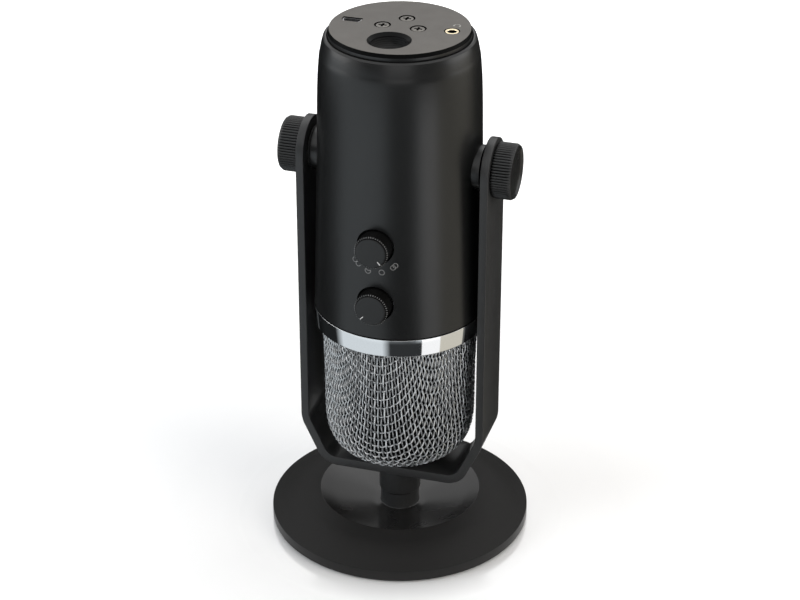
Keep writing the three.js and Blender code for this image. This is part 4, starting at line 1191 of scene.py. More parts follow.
class DESKMIC_OT_end_plate(bpy.types.Operator):
    """Build the end plate, its screws, the thread bush and the sockets"""

    bl_idname = "desk_mic.end_plate"
    bl_label = "End plate"

    def execute(self, context):
        sizes = settings("plate")
        spots = [sum(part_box(f"plate_screw_{screw}"), Vector((0, 0, 0))) / 2 for screw in (1, 2, 3)]
        self.plate(sizes, spots)
        self.screws(sizes, spots)
        self.bush(sizes)
        self.usb_socket()
        self.jack()
        self.headphone_mark(sizes)
        return {"FINISHED"}

    def plate(self, sizes, spots):
        """Disc with its bevelled edge and holes."""
        radius, bottom = high("end_plate", "X"), low("end_plate", "Z")
        bush_hole, jack_hole, usb_room, overrun = 8.9 * MM, 3.2 * MM, 0.3 * MM, 5 * MM
        shank_hole, head_hole, cone_foot, cone_top = 1.8 * MM, 3.4 * MM, 2 * MM, 0.9 * MM
        face_room, side_room, bevel_level = 0.05 * MM, 0.2 * MM, 0.85
        disc = [
            (0, bottom, 0),
            (radius, bottom, 0),
            (radius, PLATE_TOP - sizes.edge_height, 0.5 * MM),
            (radius - sizes.edge_width, PLATE_TOP, 0.25 * MM),
            (0, PLATE_TOP, 0),
        ]
        plate = new_piece("end_plate_disc", lathe(rounded(disc, 5), 160), "plate_grey")
        below, above = bottom - overrun, PLATE_TOP + overrun
        outlines = {
            "stand_thread_bush": circle(bush_hole, 96),
            "jack_barrel": circle(jack_hole, 64),
            "usb_socket": self.socket_outline(usb_room),
        }
        cutters = [
            hole(outline, below, above, self.spot(node), "plate_grey") for node, outline in outlines.items()
        ]
        cone = [
            (0, below),
            (shank_hole, below),
            (shank_hole, PLATE_TOP - cone_foot),
            (head_hole, PLATE_TOP - cone_top),
            (head_hole, above),
            (0, above),
        ]
        cutters += [new_piece("hole", lathe(cone, 64), "plate_grey", at(spot.x, spot.y, 0)) for spot in spots]
        cut(plate, *cutters)
        # Painted shade on the plate's bevelled edge and on the walls of its holes
        repaint(
            plate,
            "plate_side_black",
            lambda out, height, level: level < bevel_level and height < PLATE_TOP - face_room,
        )
        repaint(
            plate,
            "housing_black",
            lambda out, height, level: height < PLATE_TOP - sizes.edge_height and out > radius - side_room,
        )
        cad(plate, "microphone", "plate_grey", "end_plate")

    def spot(self, node):
        return at(middle(node, "X"), middle(node, "Y"), 0)

    def socket_outline(self, margin):
        half, narrow, height = 3.85 * MM + margin, 3.15 * MM + margin, 1.85 * MM + margin
        right = [(narrow, -height), (half, 0), (half, height)]
        corners = [(-narrow, -height), *right, (-half, height), (-half, 0)]
        return [tuple(point) for point in rounded([(x, y, 0.35 * MM) for x, y in corners], 3)]

    def screws(self, sizes, spots):
        """Countersunk screws with cross recesses, as copies of one."""
        bottom, overrun, shadow_depth = low("plate_screw_1", "Z"), 2 * MM, 0.3 * MM
        head, shank, depth, cone_top = 2.7 * MM, 1.5 * MM, 1.7 * MM, 0.6 * MM
        edge_drop, crown_drop = 0.16 * MM, 0.05 * MM
        floor_share, mouth_share = 0.7, 1.05
        outline = [
            (0, bottom, 0),
            (shank, bottom, 0.2 * MM),
            (shank, PLATE_TOP - depth, 0),
            (head, PLATE_TOP - cone_top, 0),
            (head, PLATE_TOP - edge_drop, 0.08 * MM),
            (0, PLATE_TOP - crown_drop, 0),
        ]
        screw = new_piece("screw", lathe(rounded(outline, 3), 64), "screw_grey")
        slots = []
        for turn in (0, QUARTER_TURN):
            slot = oblong(sizes.recess_length, sizes.recess_width)
            corners, faces = prism(slot, PLATE_TOP - sizes.recess_depth, PLATE_TOP + overrun)
            wedge = [(x * (floor_share if z < PLATE_TOP else mouth_share), y, z) for x, y, z in corners]
            place = Matrix.Rotation(turn, 4, "Z")
            # The cutters' walls carry painted shade into the cross recess
            slots.append(new_piece("slot", (wedge, faces), "plate_side_black", place))
        cut(screw, *slots)
        piece = linked("plate_screws", new_mesh("plate_screws", [(spot.x, spot.y, 0) for spot in spots]))
        grown(piece, "screw_copies", copies, "screw_grey", source=screw)
        drop(screw)
        # Painted shade on the screw heads below their top
        repaint(piece, "plate_side_black", lambda out, height, level: height < PLATE_TOP - shadow_depth)
        cad(piece, "microphone", "plate_grey", "plate_screw_1", "plate_screw_2", "plate_screw_3")

    def bush(self, sizes):
        """Insert with the stand's thread."""
        node = "stand_thread_bush"
        bottom, flange = low(node, "Z"), high(node, "X") - middle(node, "X")
        wall, bore, chamfer, floor = 8.85 * MM, 7.94 * MM, 1.35 * MM, 1.2 * MM
        flange_room, flange_thickness, top_room = 0.3 * MM, 1.2 * MM, 0.02 * MM
        step_depth, step_end, sunk_share, ridge_share = 0.15 * MM, 0.5 * MM, 0.2, 0.9
        lip, shoulder = wall - chamfer, PLATE_TOP - chamfer
        flange_top = low("end_plate", "Z") - flange_room
        outline = [
            (0, bottom, 0),
            (wall, bottom, 0.3 * MM),
            (wall, flange_top - flange_thickness, 0),
            (flange, flange_top - flange_thickness, 0),
            (flange, flange_top, 0),
            (wall, flange_top, 0),
            (wall, PLATE_TOP - top_room, 0),
            (lip, shoulder, 0.05 * MM),
            (lip, shoulder - step_depth, 0.05 * MM),
            (bore, shoulder - step_end, 0.05 * MM),
            (bore, bottom + floor, 0.2 * MM),
            (0, bottom + floor, 0),
        ]
        body = new_piece("bush_body", lathe(rounded(outline, 3), 96), "bush_black")
        thread = linked("thread", new_mesh("thread", [(0, 0, 0)]))
        reach = shoulder - bottom - floor - sizes.thread_pitch
        grown(
            thread,
            "stand_thread",
            screw_thread,
            "stand_black",
            radius=bore - sizes.thread_depth * sunk_share,
            pitch=sizes.thread_pitch,
            turns=reach / sizes.thread_pitch,
            depth=sizes.thread_depth * ridge_share,
            steps=72,
        )
        thread.data.transform(at(0, 0, bottom + floor + sizes.thread_pitch / 2))
        piece = joined("thread_bush", body, thread)
        piece.data.transform(self.spot(node))
        cad(piece, "microphone", "stand_black", node)

    def usb_socket(self):
        """Socket shell with its tongue and contacts."""
        bottom, top = low("usb_socket", "Z"), PLATE_TOP - 0.4 * MM
        wall, floor_thickness, tongue_drop, contact_drop = 0.4 * MM, 0.5 * MM, 1.5 * MM, 0.4 * MM
        tongue_width, tongue_depth, tongue_shift = 4.6 * MM, 1.1 * MM, 0.35 * MM
        contact_width, contact_depth, contact_shift, contact_pitch = 0.4 * MM, 0.12 * MM, 0.25 * MM, 0.8 * MM
        floor, tongue_top = bottom + floor_thickness, top - tongue_drop
        shell = new_piece("usb_shell", prism(self.socket_outline(0), bottom, top), "steel")
        cut(shell, hole(self.socket_outline(-wall), floor, top + MM, None, "steel"))
        outline = [(x, y + tongue_shift) for x, y in oblong(tongue_width, tongue_depth)]
        pieces = [shell, new_piece("tongue", prism(outline, floor, tongue_top), "plastic")]
        for place in range(-2, 3):
            blade = oblong(contact_width, contact_depth)
            outline = [(x + place * contact_pitch, y - contact_shift) for x, y in blade]
            pieces.append(new_piece("contact", prism(outline, floor, tongue_top - contact_drop), "gold"))
        socket = joined("usb_shell", *pieces)
        socket.data.transform(self.spot("usb_socket"))
        cad(socket, "microphone", "steel", "usb_socket")

    def jack(self):
        """Ring of the headphone socket, with painted shade down its bore."""
        bottom, bore, radius = low("jack_barrel", "Z"), 1.8 * MM, 2.8 * MM
        bore_room, bright_depth = 0.1 * MM, 2 * MM
        mouth = [(radius, PLATE_TOP, 0.2 * MM), (bore, PLATE_TOP, 0.35 * MM)]
        shape = lathe(rounded([(bore, bottom, 0), (radius, bottom, 0), *mouth], 5), 72, ring=True)
        ring = new_piece("jack_ring", shape, "gold", self.spot("jack_barrel"))
        # Painted shade down the bore, below bright_depth
        repaint(
            ring,
            "plate_side_black",
            lambda out, height, level: out < bore + bore_room and height < PLATE_TOP - bright_depth,
            axis=(middle("jack_barrel", "X"), middle("jack_barrel", "Y")),
        )
        cad(ring, "microphone", "gold_plate", "jack_barrel")

    def headphone_mark(self, sizes):
        """Small headphone pictogram beside its socket."""
        half, stroke = sizes.headphone_mark / 2, 0.32 * MM
        band_share, cup_share, cup_width_share = 0.8, 0.75, 2.2
        cup_top, mark_x, mark_y, sink = 0.1 * MM, 21.4 * MM, 8.1 * MM, 0.001 * MM
        thickness = settings("controls").print_thickness
        shapes = [ribbon(arc((0, 0), half * band_share, 0, math.pi), stroke, thickness, False)]
        for side in (-1, 1):
            x = side * half * band_share
            cup = [Vector((x, cup_top)), Vector((x, -half * cup_share))]
            shapes.append(ribbon(cup, stroke * cup_width_share, thickness, False))
        mark = new_piece("headphone_mark", merged(shapes), "print_grey", at(mark_x, mark_y, PLATE_TOP - sink))
        cad(mark, "microphone", "plate_grey")


class DESKMIC_OT_grille(bpy.types.Operator):
    """Weave the grille's wires over its outline, with the foam inside and the ring above"""

    bl_idname = "desk_mic.grille"
    bl_label = "Grille"

    def execute(self, context):
        sizes = settings("grille")
        outline = [Vector((point.x, 0, point.y)) for point in grille_outline(sizes.wire_radius + sizes.sway)]
        edges = list(zip(range(len(outline)), range(1, len(outline))))
        for name, across, over in (("grille_wires_down", 0.0, 1.0), ("grille_wires_round", 1.0, -1.0)):
            wires = linked(name, new_mesh(name, outline, edges=edges))
            grown(
                wires,
                name,
                wire_weave,
                "wire_silver",
                wires=sizes.wires,
                spacing_at_crown=sizes.crown_spacing,
                spacing_at_side=sizes.side_spacing,
                drawn_from=sizes.drawn_from,
                radius=sizes.wire_radius,
                sway=sizes.sway * over,
                across=across,
                steps=sizes.steps,
                sides=sizes.wire_sides,
            )
            cad(wires, "microphone", "silver_wire", "grille")
        self.liner(sizes)
        self.ring(sizes)
        return {"FINISHED"}

    def liner(self, sizes):
        """Foam inside the wires."""
        top = high("grille_liner", "Z")
        insets = (sizes.foam_depth, sizes.foam_depth + sizes.foam_thickness)
        outer, inner = ([point for point in grille_outline(inset) if point.y < top] for inset in insets)
        outline = [*outer, (outer[-1].x, top), (inner[-1].x, top), *reversed(inner)]
        lining = new_piece("foam_lining", lathe(outline, 96), "foam")
        cad(lining, "microphone", "foam", "grille_liner")

    def ring(self, sizes):
        """Polished ring, and the hem of the mesh that shows under it."""
        bottom, top = low("trim_ring", "Z") - sizes.band_drop, high("trim_ring", "Z")
        outer = high("trim_ring", "X")
        width, edge, brow = 2.2 * MM, 0.16 * MM, 0.08 * MM
        hem_width, hem_hidden = 1.2 * MM, 0.5 * MM
        inner = outer - width
        band = [(inner, bottom, edge), (outer, bottom, edge), (outer, top, brow), (inner, top, edge)]
        ring = new_piece("trim_band", lathe(rounded(band, 5), 256, ring=True), "chrome")
        cad(ring, "microphone", "trim_chrome", "trim_ring")
        outer, low_edge, top = outer - sizes.hem_inset, bottom - sizes.hem_drop, bottom + hem_hidden
        inner = outer - hem_width
        hem = [(inner, low_edge, 0.2 * MM), (outer, low_edge, 0.25 * MM), (outer, top, 0), (inner, top, 0)]
        hem_piece = new_piece("grille_hem", lathe(rounded(hem), 160, ring=True), "wire_silver")
        cad(hem_piece, "microphone", "silver_wire")


class DESKMIC_OT_controls(bpy.types.Operator):
    """Build the knobs with their knurls and pointers, and the button"""

    bl_idname = "desk_mic.controls"
    bl_label = "Controls"

    def execute(self, context):
        sizes = settings("controls")
        self.knob(sizes, "pattern", "-Y", 41)
        self.knob(sizes, "gain", "-Y", -45)
        self.knob(sizes, "volume", "+Y", -150)
        self.button()
        self.ticks(sizes)
        return {"FINISHED"}

    def knob(self, sizes, name, side, pointer_degrees):
        """Knurled knob with a plain face; the pointer is turned from straight down."""
        node = f"{name}_knob"
        back, packed_face = sorted((abs(low(node, "Y")), abs(high(node, "Y"))))
        face, radius, face_radius = packed_face + sizes.proud, 7.15 * MM, sizes.face_radius
        bore_depth, plain_foot, bevel_drop, bow = 5 * MM, 1 * MM, 0.21 * MM, 0.16 * MM
        face_bevel, grip_room, tip_start = 0.12 * MM, 0.05 * MM, 0.35 * MM
        grip_rows, bevel_rows, face_rows, sides_per_knurl = 42, 6, 8, 6
        lit_tip_share, grip_fade = 0.3, 3
        grip_start, grip_end = back + plain_foot, face - sizes.rim_width
        bevel = (radius - face_radius) / (sizes.rim_width - bevel_drop)
        # Radius past which the knurl's tips are painted lighter than its grooves
        lit_tip_radius = radius - lit_tip_share * sizes.knurl_depth
        outline = [
            (0, back + bore_depth, 0),
            (BOLT_BORE, back + bore_depth, 0),
            (BOLT_BORE, back, 0.1 * MM),
            (radius, back, 0.2 * MM),
            (radius, grip_end, 0),
        ]
        outline = rounded(outline, 2)[:-1]
        for row in range(grip_rows + 1):
            outline.append((radius, grip_start + (grip_end - grip_start) * row / grip_rows))
        for row in range(1, bevel_rows + 1):
            share = row / bevel_rows
            out = radius + (face_radius - radius) * share
            outline.append((out, grip_end + (face - bevel_drop - grip_end) * share))
        for row in range(face_rows + 1):
            share = 1 - row / face_rows
            outline.append(((face_radius - face_bevel) * share, face - bow * share**2))
        knob = new_piece(name, lathe(outline, sizes.knurls * sides_per_knurl), "knurl_black")

        def grip_at(out, height):
            if height < grip_start + grip_room or out < face_radius - grip_room:
                return 0
            return min(1, max(0, (out - face_radius) / (radius - face_radius) * grip_fade))

        mark_grip(knob, grip_at)
        grown(
            knob,
            f"{name}_knurl",
            diamond_knurl,
            "knurl_black",
            knurls=sizes.knurls,
            rows=sizes.knurl_rows,
            knurl_start=grip_start,
            knurl_length=grip_end - grip_start,
            depth=sizes.knurl_depth,
        )
        # The face and the knurl's outer tips keep the knobs' own black; the rest keeps the darker copy,
        # painted shade on the knob's side and in its grooves
        repaint(
            knob,
            "control_black",
            lambda out, height, level: out < face_radius - grip_room or out > lit_tip_radius,
        )
        repaint(
            # Painted highlight on the knurl's tips along the bevel
            knob,
            "knurl_tip",
            lambda out, height, level: height > grip_end
            and out + (height - grip_end) * bevel > lit_tip_radius
            and out > face_radius + tip_start,
        )
        pointer = self.pointer(sizes, face, face_radius - face_bevel, pointer_degrees)
        knob = joined(f"{name}_dial", knob, pointer)
        flip = Matrix.Rotation(0 if side == "-Y" else math.pi, 4, "Z")
        knob.data.transform(at(0, 0, middle(node, "Z")) @ ALONG[side] @ flip)
        cad(knob, f"{name}_control", "control_black", node)
        dress(f"{name}_shaft", "steel")

    def pointer(self, sizes, face, reach, degrees):
        """Line from the edge of a knob's face towards its middle."""
        foot_depth, top_depth, round_share = 0.3 * MM, 0.05 * MM, 0.3
        span, width = sizes.pointer_length, sizes.pointer_width
        line = rounded([(x, y, width * round_share) for x, y in oblong(width, span)], 3)
        shape = prism([(x, y - (reach - span / 2)) for x, y in line], face - foot_depth, face - top_depth)
        return new_piece("pointer", shape, "pointer_white", Matrix.Rotation(math.radians(degrees), 4, "Z"))

    def button(self):
        """Domed push button."""
        node = "mute_button"
        face, stem, axis_height = high(node, "Y"), low(node, "Y"), middle(node, "Z")
        radius, stem_radius, flange_thickness, flange_room = 4.2 * MM, 1.8 * MM, 1 * MM, 0.5 * MM
        edge_drop, crown_drop, crown_share = 0.2 * MM, 0.02 * MM, 0.55
        flange = middle(node, "X") - low(node, "X")
        spots = (point.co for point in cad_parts[node].data.vertices)
        inner = radius + flange_room
        front = max(spot.y for spot in spots if math.hypot(spot.x, spot.z - axis_height) > inner)
        outline = [
            (0, stem, 0),
            (stem_radius, stem, 0),
            (stem_radius, front - flange_thickness, 0),
            (flange, front - flange_thickness, 0),
            (flange, front, 0),
            (radius, front, 0),
            (radius, face - edge_drop, 0.45 * MM),
            (radius * crown_share, face - crown_drop, 1 * MM),
            (0, face, 0),
        ]
        shape = lathe(rounded(outline, 5), 96)
        button = new_piece("push_button", shape, "control_black", at(0, 0, axis_height) @ ALONG["+Y"])
        cad(button, "mute_control", "control_black", node)

    def ticks(self, sizes):
        """Plain ticks round the volume knob."""
        inner, outer = sizes.mark_radius - 1.4 * MM, sizes.mark_radius - 0.2 * MM
        shapes = []
        for degrees in range(-150, 151, 30):
            swing = math.radians(degrees)
            spot = Vector((math.sin(swing), math.cos(swing)))
            line = [spot * inner, spot * outer]
            shapes.append(ribbon(line, sizes.mark_stroke, sizes.print_thickness, False))
        print_on_housing("volume_ticks", shapes, "volume_knob", 1)


class DESKMIC_OT_tilt_screws(bpy.types.Operator):
    """Build the bosses, washers and ridged tilt screws at the pivots"""

    bl_idname = "desk_mic.tilt_screws"
    bl_label = "Tilt screws"

    def execute(self, context):
        boss = (9.5 * MM, 0.2 * MM, "housing_black", "housing_black")
        washer = (8.9 * MM, 0.15 * MM, "rubber", "inner_plastic")
        for name, side in (("left", "-X"), ("right", "+X")):
            place = at(0, 0, PIVOT_HEIGHT) @ ALONG[side]
            self.turned_part(f"pivot_boss_{name}", f"boss_{name}", place, *boss)
            self.turned_part(f"friction_washer_{name}", f"washer_{name}", place, *washer)
            self.screw(settings("tilt_screws"), name, place)
            dress(f"thumb_stud_{name}", "steel")
        return {"FINISHED"}

    def span(self, node):
        first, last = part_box(node)
        return sorted((abs(first.x), abs(last.x)))

    def turned_part(self, node, name, place, radius, edge, finish, slot):
        start, end = self.span(node)
        outer = [(radius, start, edge), (radius, end, edge)]
        outline = [(BOLT_BORE, start, 0), *outer, (BOLT_BORE, end, edge / 2)]
        piece = new_piece(name, lathe(rounded(outline), 96, ring=True), finish, place)
        cad(piece, "microphone", slot, node)

    def screw(self, sizes, name, place):
        """Head with straight ridges and a dished end."""
        node = f"thumb_knob_{name}"
        foot, tip = self.span(node)
        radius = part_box(node)[1].z - PIVOT_HEIGHT
        bore_depth, edge, rim_inset, rim_height = 5.25 * MM, 0.5 * MM, 0.7 * MM, 1.1 * MM
        dish_run, dish_rise, rim_room, end_room = 0.7 * MM, 0.15 * MM, 0.05 * MM, 0.01 * MM
        grip_rows, sides, corner_share, grip_share, fade, dark_share = 6, 480, 0.3, 0.2, 1.05, 0.6
        rim, end = radius - rim_inset, tip - rim_height
        dish, floor = rim - sizes.rim_width, tip - sizes.dish_depth
        outline = [
            (0, foot + bore_depth),
            (BOLT_BORE, foot + bore_depth),
            (BOLT_BORE, foot),
            (radius - edge, foot),
            (radius - edge * corner_share, foot + edge * corner_share),
            (radius, foot + edge),
        ]
        for row in range(1, grip_rows + 1):
            outline.append((radius, foot + edge + (end - foot - edge) * row / grip_rows))
        tip_outline = [
            (radius, end, 0),
            (rim, tip, 0.12 * MM),
            (dish, tip, 0.1 * MM),
            (dish - dish_run, floor, 0.5 * MM),
            (0, floor + dish_rise, 0),
        ]
        knob = new_piece(node, lathe([*outline, *rounded(tip_outline)[1:]], sides), "screw_black")

        def grip_at(out, height):
            if out < rim - rim_room or height < foot + edge * grip_share:
                return 0
            if height > end + end_room:
                return max(0, 1 - (height - end) / (tip - end) * fade)
            return 1

        mark_grip(knob, grip_at)
        ridges = {"ridges": sizes.ridges, "depth": sizes.ridge_depth}
        grown(knob, f"{node}_ridges", straight_ridges, "screw_black", **ridges)
        # Painted shade in the grooves between the ridges, below dark_share of their depth
        repaint(
            knob,
            "knurl_black",
            lambda out, height, level: height < end and rim < out < radius - dark_share * sizes.ridge_depth,
        )
        knob.data.transform(place)
        knob.name = knob.data.name = f"tilt_screw_{name}"
        cad(knob, f"thumbscrew_{name}", "control_black", node)


class DESKMIC_OT_inside(bpy.types.Operator):
    """Finish the parts inside the housing and the capsule chamber"""

    bl_idname = "desk_mic.inside"
    bl_label = "Inside"

    def execute(self, context):
        coats = {
            "circuit": ["io_board", "main_board", "front_control_board", "rear_control_board"],
            "aluminium": ["chassis_frame", "pattern_switch", "gain_pot", "volume_pot"],
            "plastic": ["headphone_jack", "bulkhead", "mute_switch", "capsule_cradle"],
            "rubber": ["io_lead", "capsule_lead", "capsule_isolator"],
            "gold": ["capsule_1", "capsule_2", "capsule_3"],
            "steel": [f"{side}_board_screw_{screw}" for side in ("front", "rear") for screw in (1, 2)],
        }
        for finish, nodes in coats.items():
            for node in nodes:
                dress(node, finish)
        return {"FINISHED"}


WHITE = (1, 1, 1, 1)
CAMERA_PLACE = (0.2466, -0.8123, 0.5707)
CAMERA_TILT = math.radians(61.29)
CAMERA_TURN = math.radians(16.886)
SENSOR_WIDTH = 36  # in millimetres, as Blender asks
LAMP_TARGET = (0, 0, 0.12)


def glowing(name, tint=None):
    """Material that only shines, in one colour or else in the mesh's own tints."""
    material, graph = new_material(name)
    if tint is None:
        tint = graph.add("ShaderNodeAttribute", {"attribute_name": "tint"}, output="Color")
    glow = graph.add("ShaderNodeEmission", {}, {"Color": tint, "Strength": 1})
    graph.add("ShaderNodeOutputMaterial", {}, {"Surface": glow})
    return material


def reflector(name, corners, faces, material):
    """A stage piece that only the reflections show."""
    card = linked(name, new_mesh(name, corners, faces))
    card.data.materials.append(material)
    for rays in ("camera", "diffuse", "shadow", "transmission"):
        setattr(card, f"visible_{rays}", False)
    return card


class DESKMIC_OT_stage(bpy.types.Operator):
    """Set up the floor, the lamps, the backdrop and the camera"""

    bl_idname = "desk_mic.stage"
    bl_label = "Stage"

    def execute(self, context):
        studio = settings("studio")
        context.scene.view_settings.view_transform = "Standard"
        self.camera(studio)
        self.backdrop(studio)
        self.floor(studio)
        self.board()
        self.cards()
        # Colour, place and width in metres
        lamps = {
            "left_lamp": ((0.9, 0.95, 1), (-0.9, -0.55, 0.55), 0.8),
            "right_lamp": ((1, 0.95, 0.88), (0.95, -0.25, 0.55), 0.8),
            "top_lamp": ((1, 1, 1), (0.1, 0.25, 1.3), 0.9),
        }
        for name, (rgb, place, size) in lamps.items():
            self.lamp(name, getattr(studio, name), rgb, place, size)
        return {"FINISHED"}

    def camera(self, studio):
        data = bpy.data.cameras.new("camera")
        data.sensor_width = SENSOR_WIDTH
        data.lens = studio.lens
        camera = linked("camera", data)
        camera.location = CAMERA_PLACE
        camera.rotation_euler = (CAMERA_TILT, 0, CAMERA_TURN)
        bpy.context.scene.camera = camera

    def backdrop(self, studio):
        """White wherever it is seen or mirrored, and dimmer as a light."""
        world = bpy.data.worlds.new("studio")
        bpy.context.scene.world = world
        world.use_nodes = True
        graph = Graph(world.node_tree)
        path = graph.ray("Is Camera Ray")
        seen = path.most(path.output("Is Glossy Ray")).most(path.output("Is Transmission Ray"))
        strength = seen * (1 - studio.ambient) + studio.ambient
        light = graph.add("ShaderNodeBackground", {}, {"Color": WHITE, "Strength": strength})
        graph.add("ShaderNodeOutputWorld", {}, {"Surface": light})

    def floor(self, studio):
        """Pale floor that shows white, keeps the object's shadow and mirrors its base."""
        floor_radius, paleness, far_glow, mirror_roughness = 4, 0.8, 0.9, 0.16
        glow_from, glow_to, mirror_from, mirror_to = 0.1, 0.6, 0.057, 0.072
        material, graph = new_material("studio_floor")
        matt = graph.add("ShaderNodeBsdfDiffuse", {}, {"Color": opaque([paleness] * 3)})
        x, y, _ = graph.parts(graph.add("ShaderNodeTexCoord", output="Object"))
        away = (x * x + y * y) ** 0.5
        strength = graph.spread(away, glow_from, glow_to, studio.floor_glow, far_glow)
        glow = graph.add("ShaderNodeEmission", {}, {"Color": WHITE, "Strength": strength})
        lit = graph.add("ShaderNodeAddShader", {}, {0: matt, 1: glow})
        path = graph.ray("Is Camera Ray")
        seen = path.most(path.output("Is Glossy Ray"))
        both = graph.add("ShaderNodeMixShader", {}, {0: seen, 1: matt, 2: lit})
        mirror = graph.add("ShaderNodeBsdfGlossy", {}, {"Color": WHITE, "Roughness": mirror_roughness})
        share = path * studio.floor_gloss * graph.spread(away, mirror_from, mirror_to, 1, 0)
        polished = graph.add("ShaderNodeMixShader", {}, {0: share, 1: both, 2: mirror})
        graph.add("ShaderNodeOutputMaterial", {}, {"Surface": polished})
        corners = [(x, y, 0) for x, y in circle(floor_radius, 96)]
        floor = linked("floor", new_mesh("floor", corners, [list(range(len(corners)))]))
        floor.data.materials.append(material)

    def board(self):
        """Board on the table, split in light and dark, that only the reflections show."""
        cool, white, warm = (0.66, 0.71, 0.74), (1, 1, 1), (0.6, 0.57, 0.49)
        # Turn from the camera's side, colour, and its share near the base, below the ring,
        # below the housing and far off
        stations = [
            (-180, cool, 0.01, 0.01, 0.01, 0.01),
            (-125, cool, 0.01, 0.01, 0.01, 0.1),
            (-112, cool, 0.02, 0.02, 0.03, 1.3),
            (-95, cool, 0.1, 0.02, 0.25, 1.5),
            (-88, cool, 0.3, 0.02, 0.65, 1.4),
            (-76, cool, 0.9, 1, 1.1, 1.2),
            (-50, cool, 1, 1, 1.35, 1.1),
            (-30, cool, 0.8, 1, 1.35, 0.8),
            (-22, cool, 0.4, 1, 1.2, 0.6),
            (-12, cool, 0.15, 0.045, 0.3, 0.15),
            (10, cool, 0.12, 0.045, 0.22, 0.12),
            (18, cool, 0.12, 0.045, 0.4, 0.12),
            (27, cool, 0.1, 0.045, 1.5, 0.12),
            (27, white, 0.1, 1, 1.6, 0.12),
            (51, white, 0.1, 1, 1.5, 0.15),
            (51, warm, 0.1, 1, 1.2, 0.4),
            (75, warm, 0.1, 1, 1, 1.2),
            (95, warm, 0.1, 1, 1, 1.6),
            (112, warm, 0.05, 0.8, 0.4, 1.2),
            (112, warm, 0.05, 0.02, 0.4, 1.2),
            (120, warm, 0.02, 0.02, 0.04, 0.3),
            (180, cool, 0.01, 0.01, 0.01, 0.01),
        ]
        # Radius in metres, and which of a station's shares holds there
        rings = ((0.0745, 0), (0.11, 0), (0.13, 1), (0.26, 1), (0.34, 2), (0.7, 2), (1.1, 3), (3.9, 3))
        steps, lift = 8, 0.5 * MM
        corners, faces, tints = [], [], []
        for (start, first, *first_shares), (end, last, *last_shares) in zip(stations, stations[1:]):
            for step in range(steps + 1):
                share = step / steps
                angle = CAMERA_TURN + math.radians(start + (end - start) * share)
                for radius, zone in rings:
                    corners.append((radius * math.sin(angle), -radius * math.cos(angle), lift))
                    level = first_shares[zone] * (1 - share) + last_shares[zone] * share
                    tints += opaque((a + (b - a) * share) * level for a, b in zip(first, last))
                if step and end > start:
                    base = len(corners) - 2 * len(rings)
                    for near in range(base, base + len(rings) - 1):
                        faces.append([near, near + 1, near + 1 + len(rings), near + len(rings)])
        board = reflector("reflection_board", corners, faces, glowing("reflection_board"))
        board.data.attributes.new("tint", "FLOAT_COLOR", "POINT").data.foreach_set("color", tints)

    def cards(self):
        """Upright cards far from the object that only the reflections show."""
        reach, steps = 1.2, 12
        # Turns from the camera's side, heights in metres, and tone
        cards = [
            ("flag_back_left", -179, -114, 0, 0.48, 0.01),
            ("softbox_left", -114, -78, 0.14, 0.7, 2.4),
            ("flag_left", -78, -58, 0.14, 0.7, 0.7),
            ("flag_front_left", -58, -20, 0.14, 0.7, 0.1),
            ("flag_front_right", 18, 60, 0.14, 0.7, 0.06),
            ("flag_right", 60, 74, 0.14, 0.7, 0.4),
            ("softbox_right", 74, 114, 0.14, 0.7, 2.2),
            ("flag_back_right", 120, 179, 0, 0.48, 0.01),
            ("softbox_back", 130, 230, 1.1, 3.2, 1.9),
        ]
        faces = [[n * 2, n * 2 + 1, n * 2 + 3, n * 2 + 2] for n in range(steps)]
        for name, from_degrees, to_degrees, foot, top, tone in cards:
            start, end = (CAMERA_TURN + math.radians(turn) for turn in (from_degrees, to_degrees))
            corners = []
            for step in range(steps + 1):
                angle = start + (end - start) * step / steps
                x, y = reach * math.sin(angle), -reach * math.cos(angle)
                corners += [(x, y, foot), (x, y, top)]
            reflector(name, corners, faces, glowing(name, opaque([tone] * 3)))

    def lamp(self, name, power, rgb, place, size):
        """Round lamp that points at the object and shows in no reflection."""
        data = bpy.data.lights.new(name, "AREA")
        data.shape = "DISK"
        data.size = size
        data.energy = power
        data.color = rgb
        lamp = linked(name, data)
        lamp.location = place
        lamp.visible_glossy = False
        aim = Vector(LAMP_TARGET) - Vector(place)
        lamp.rotation_euler = aim.to_track_quat("-Z", "Y").to_euler()


STEPS = [
    DESKMIC_OT_finishes,
    DESKMIC_OT_base,
    DESKMIC_OT_yoke,
    DESKMIC_OT_housing,
    DESKMIC_OT_end_plate,
    DESKMIC_OT_grille,
    DESKMIC_OT_controls,
    DESKMIC_OT_tilt_screws,
    DESKMIC_OT_inside,
    DESKMIC_OT_stage,
]


class DESKMIC_PT_panel(bpy.types.Panel):
    """Sizes, colours and pieces of the microphone"""

    bl_idname = "DESKMIC_PT_panel"
    bl_label = "Desktop microphone"
    bl_space_type = "VIEW_3D"
    bl_region_type = "UI"
    bl_category = "Microphone"

    def draw(self, context):
        for title, group in SETTINGS.items():
            box = self.layout.box()
            box.label(text=title.replace("_", " "))
            for name in group.__annotations__:
                box.prop(settings(title), name)
        for step in STEPS:
            self.layout.operator(step.bl_idname)


def register():
    for title, group in SETTINGS.items():
        bpy.utils.register_class(group)
        setattr(bpy.types.Scene, f"desk_mic_{title}", PointerProperty(type=group))
    for step in (*STEPS, DESKMIC_PT_panel):
        bpy.utils.register_class(step)


def unregister():
    for step in (DESKMIC_PT_panel, *reversed(STEPS)):
        bpy.utils.unregister_class(step)
    for title, group in SETTINGS.items():
        delattr(bpy.types.Scene, f"desk_mic_{title}")
        bpy.utils.unregister_class(group)


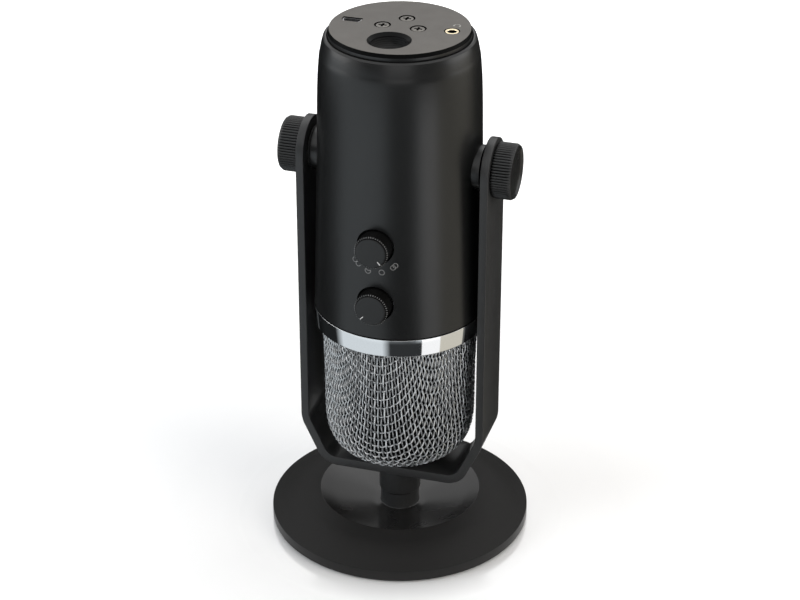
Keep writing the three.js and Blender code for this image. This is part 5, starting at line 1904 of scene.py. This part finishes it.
def main():
    register()
    bpy.ops.desk_mic.finishes()
    bpy.ops.desk_mic.base()
    bpy.ops.desk_mic.yoke()
    bpy.ops.desk_mic.housing()
    bpy.ops.desk_mic.end_plate()
    bpy.ops.desk_mic.grille()
    bpy.ops.desk_mic.controls()
    bpy.ops.desk_mic.tilt_screws()
    bpy.ops.desk_mic.inside()
    bpy.ops.desk_mic.stage()


if __name__ == "__main__":
    main()
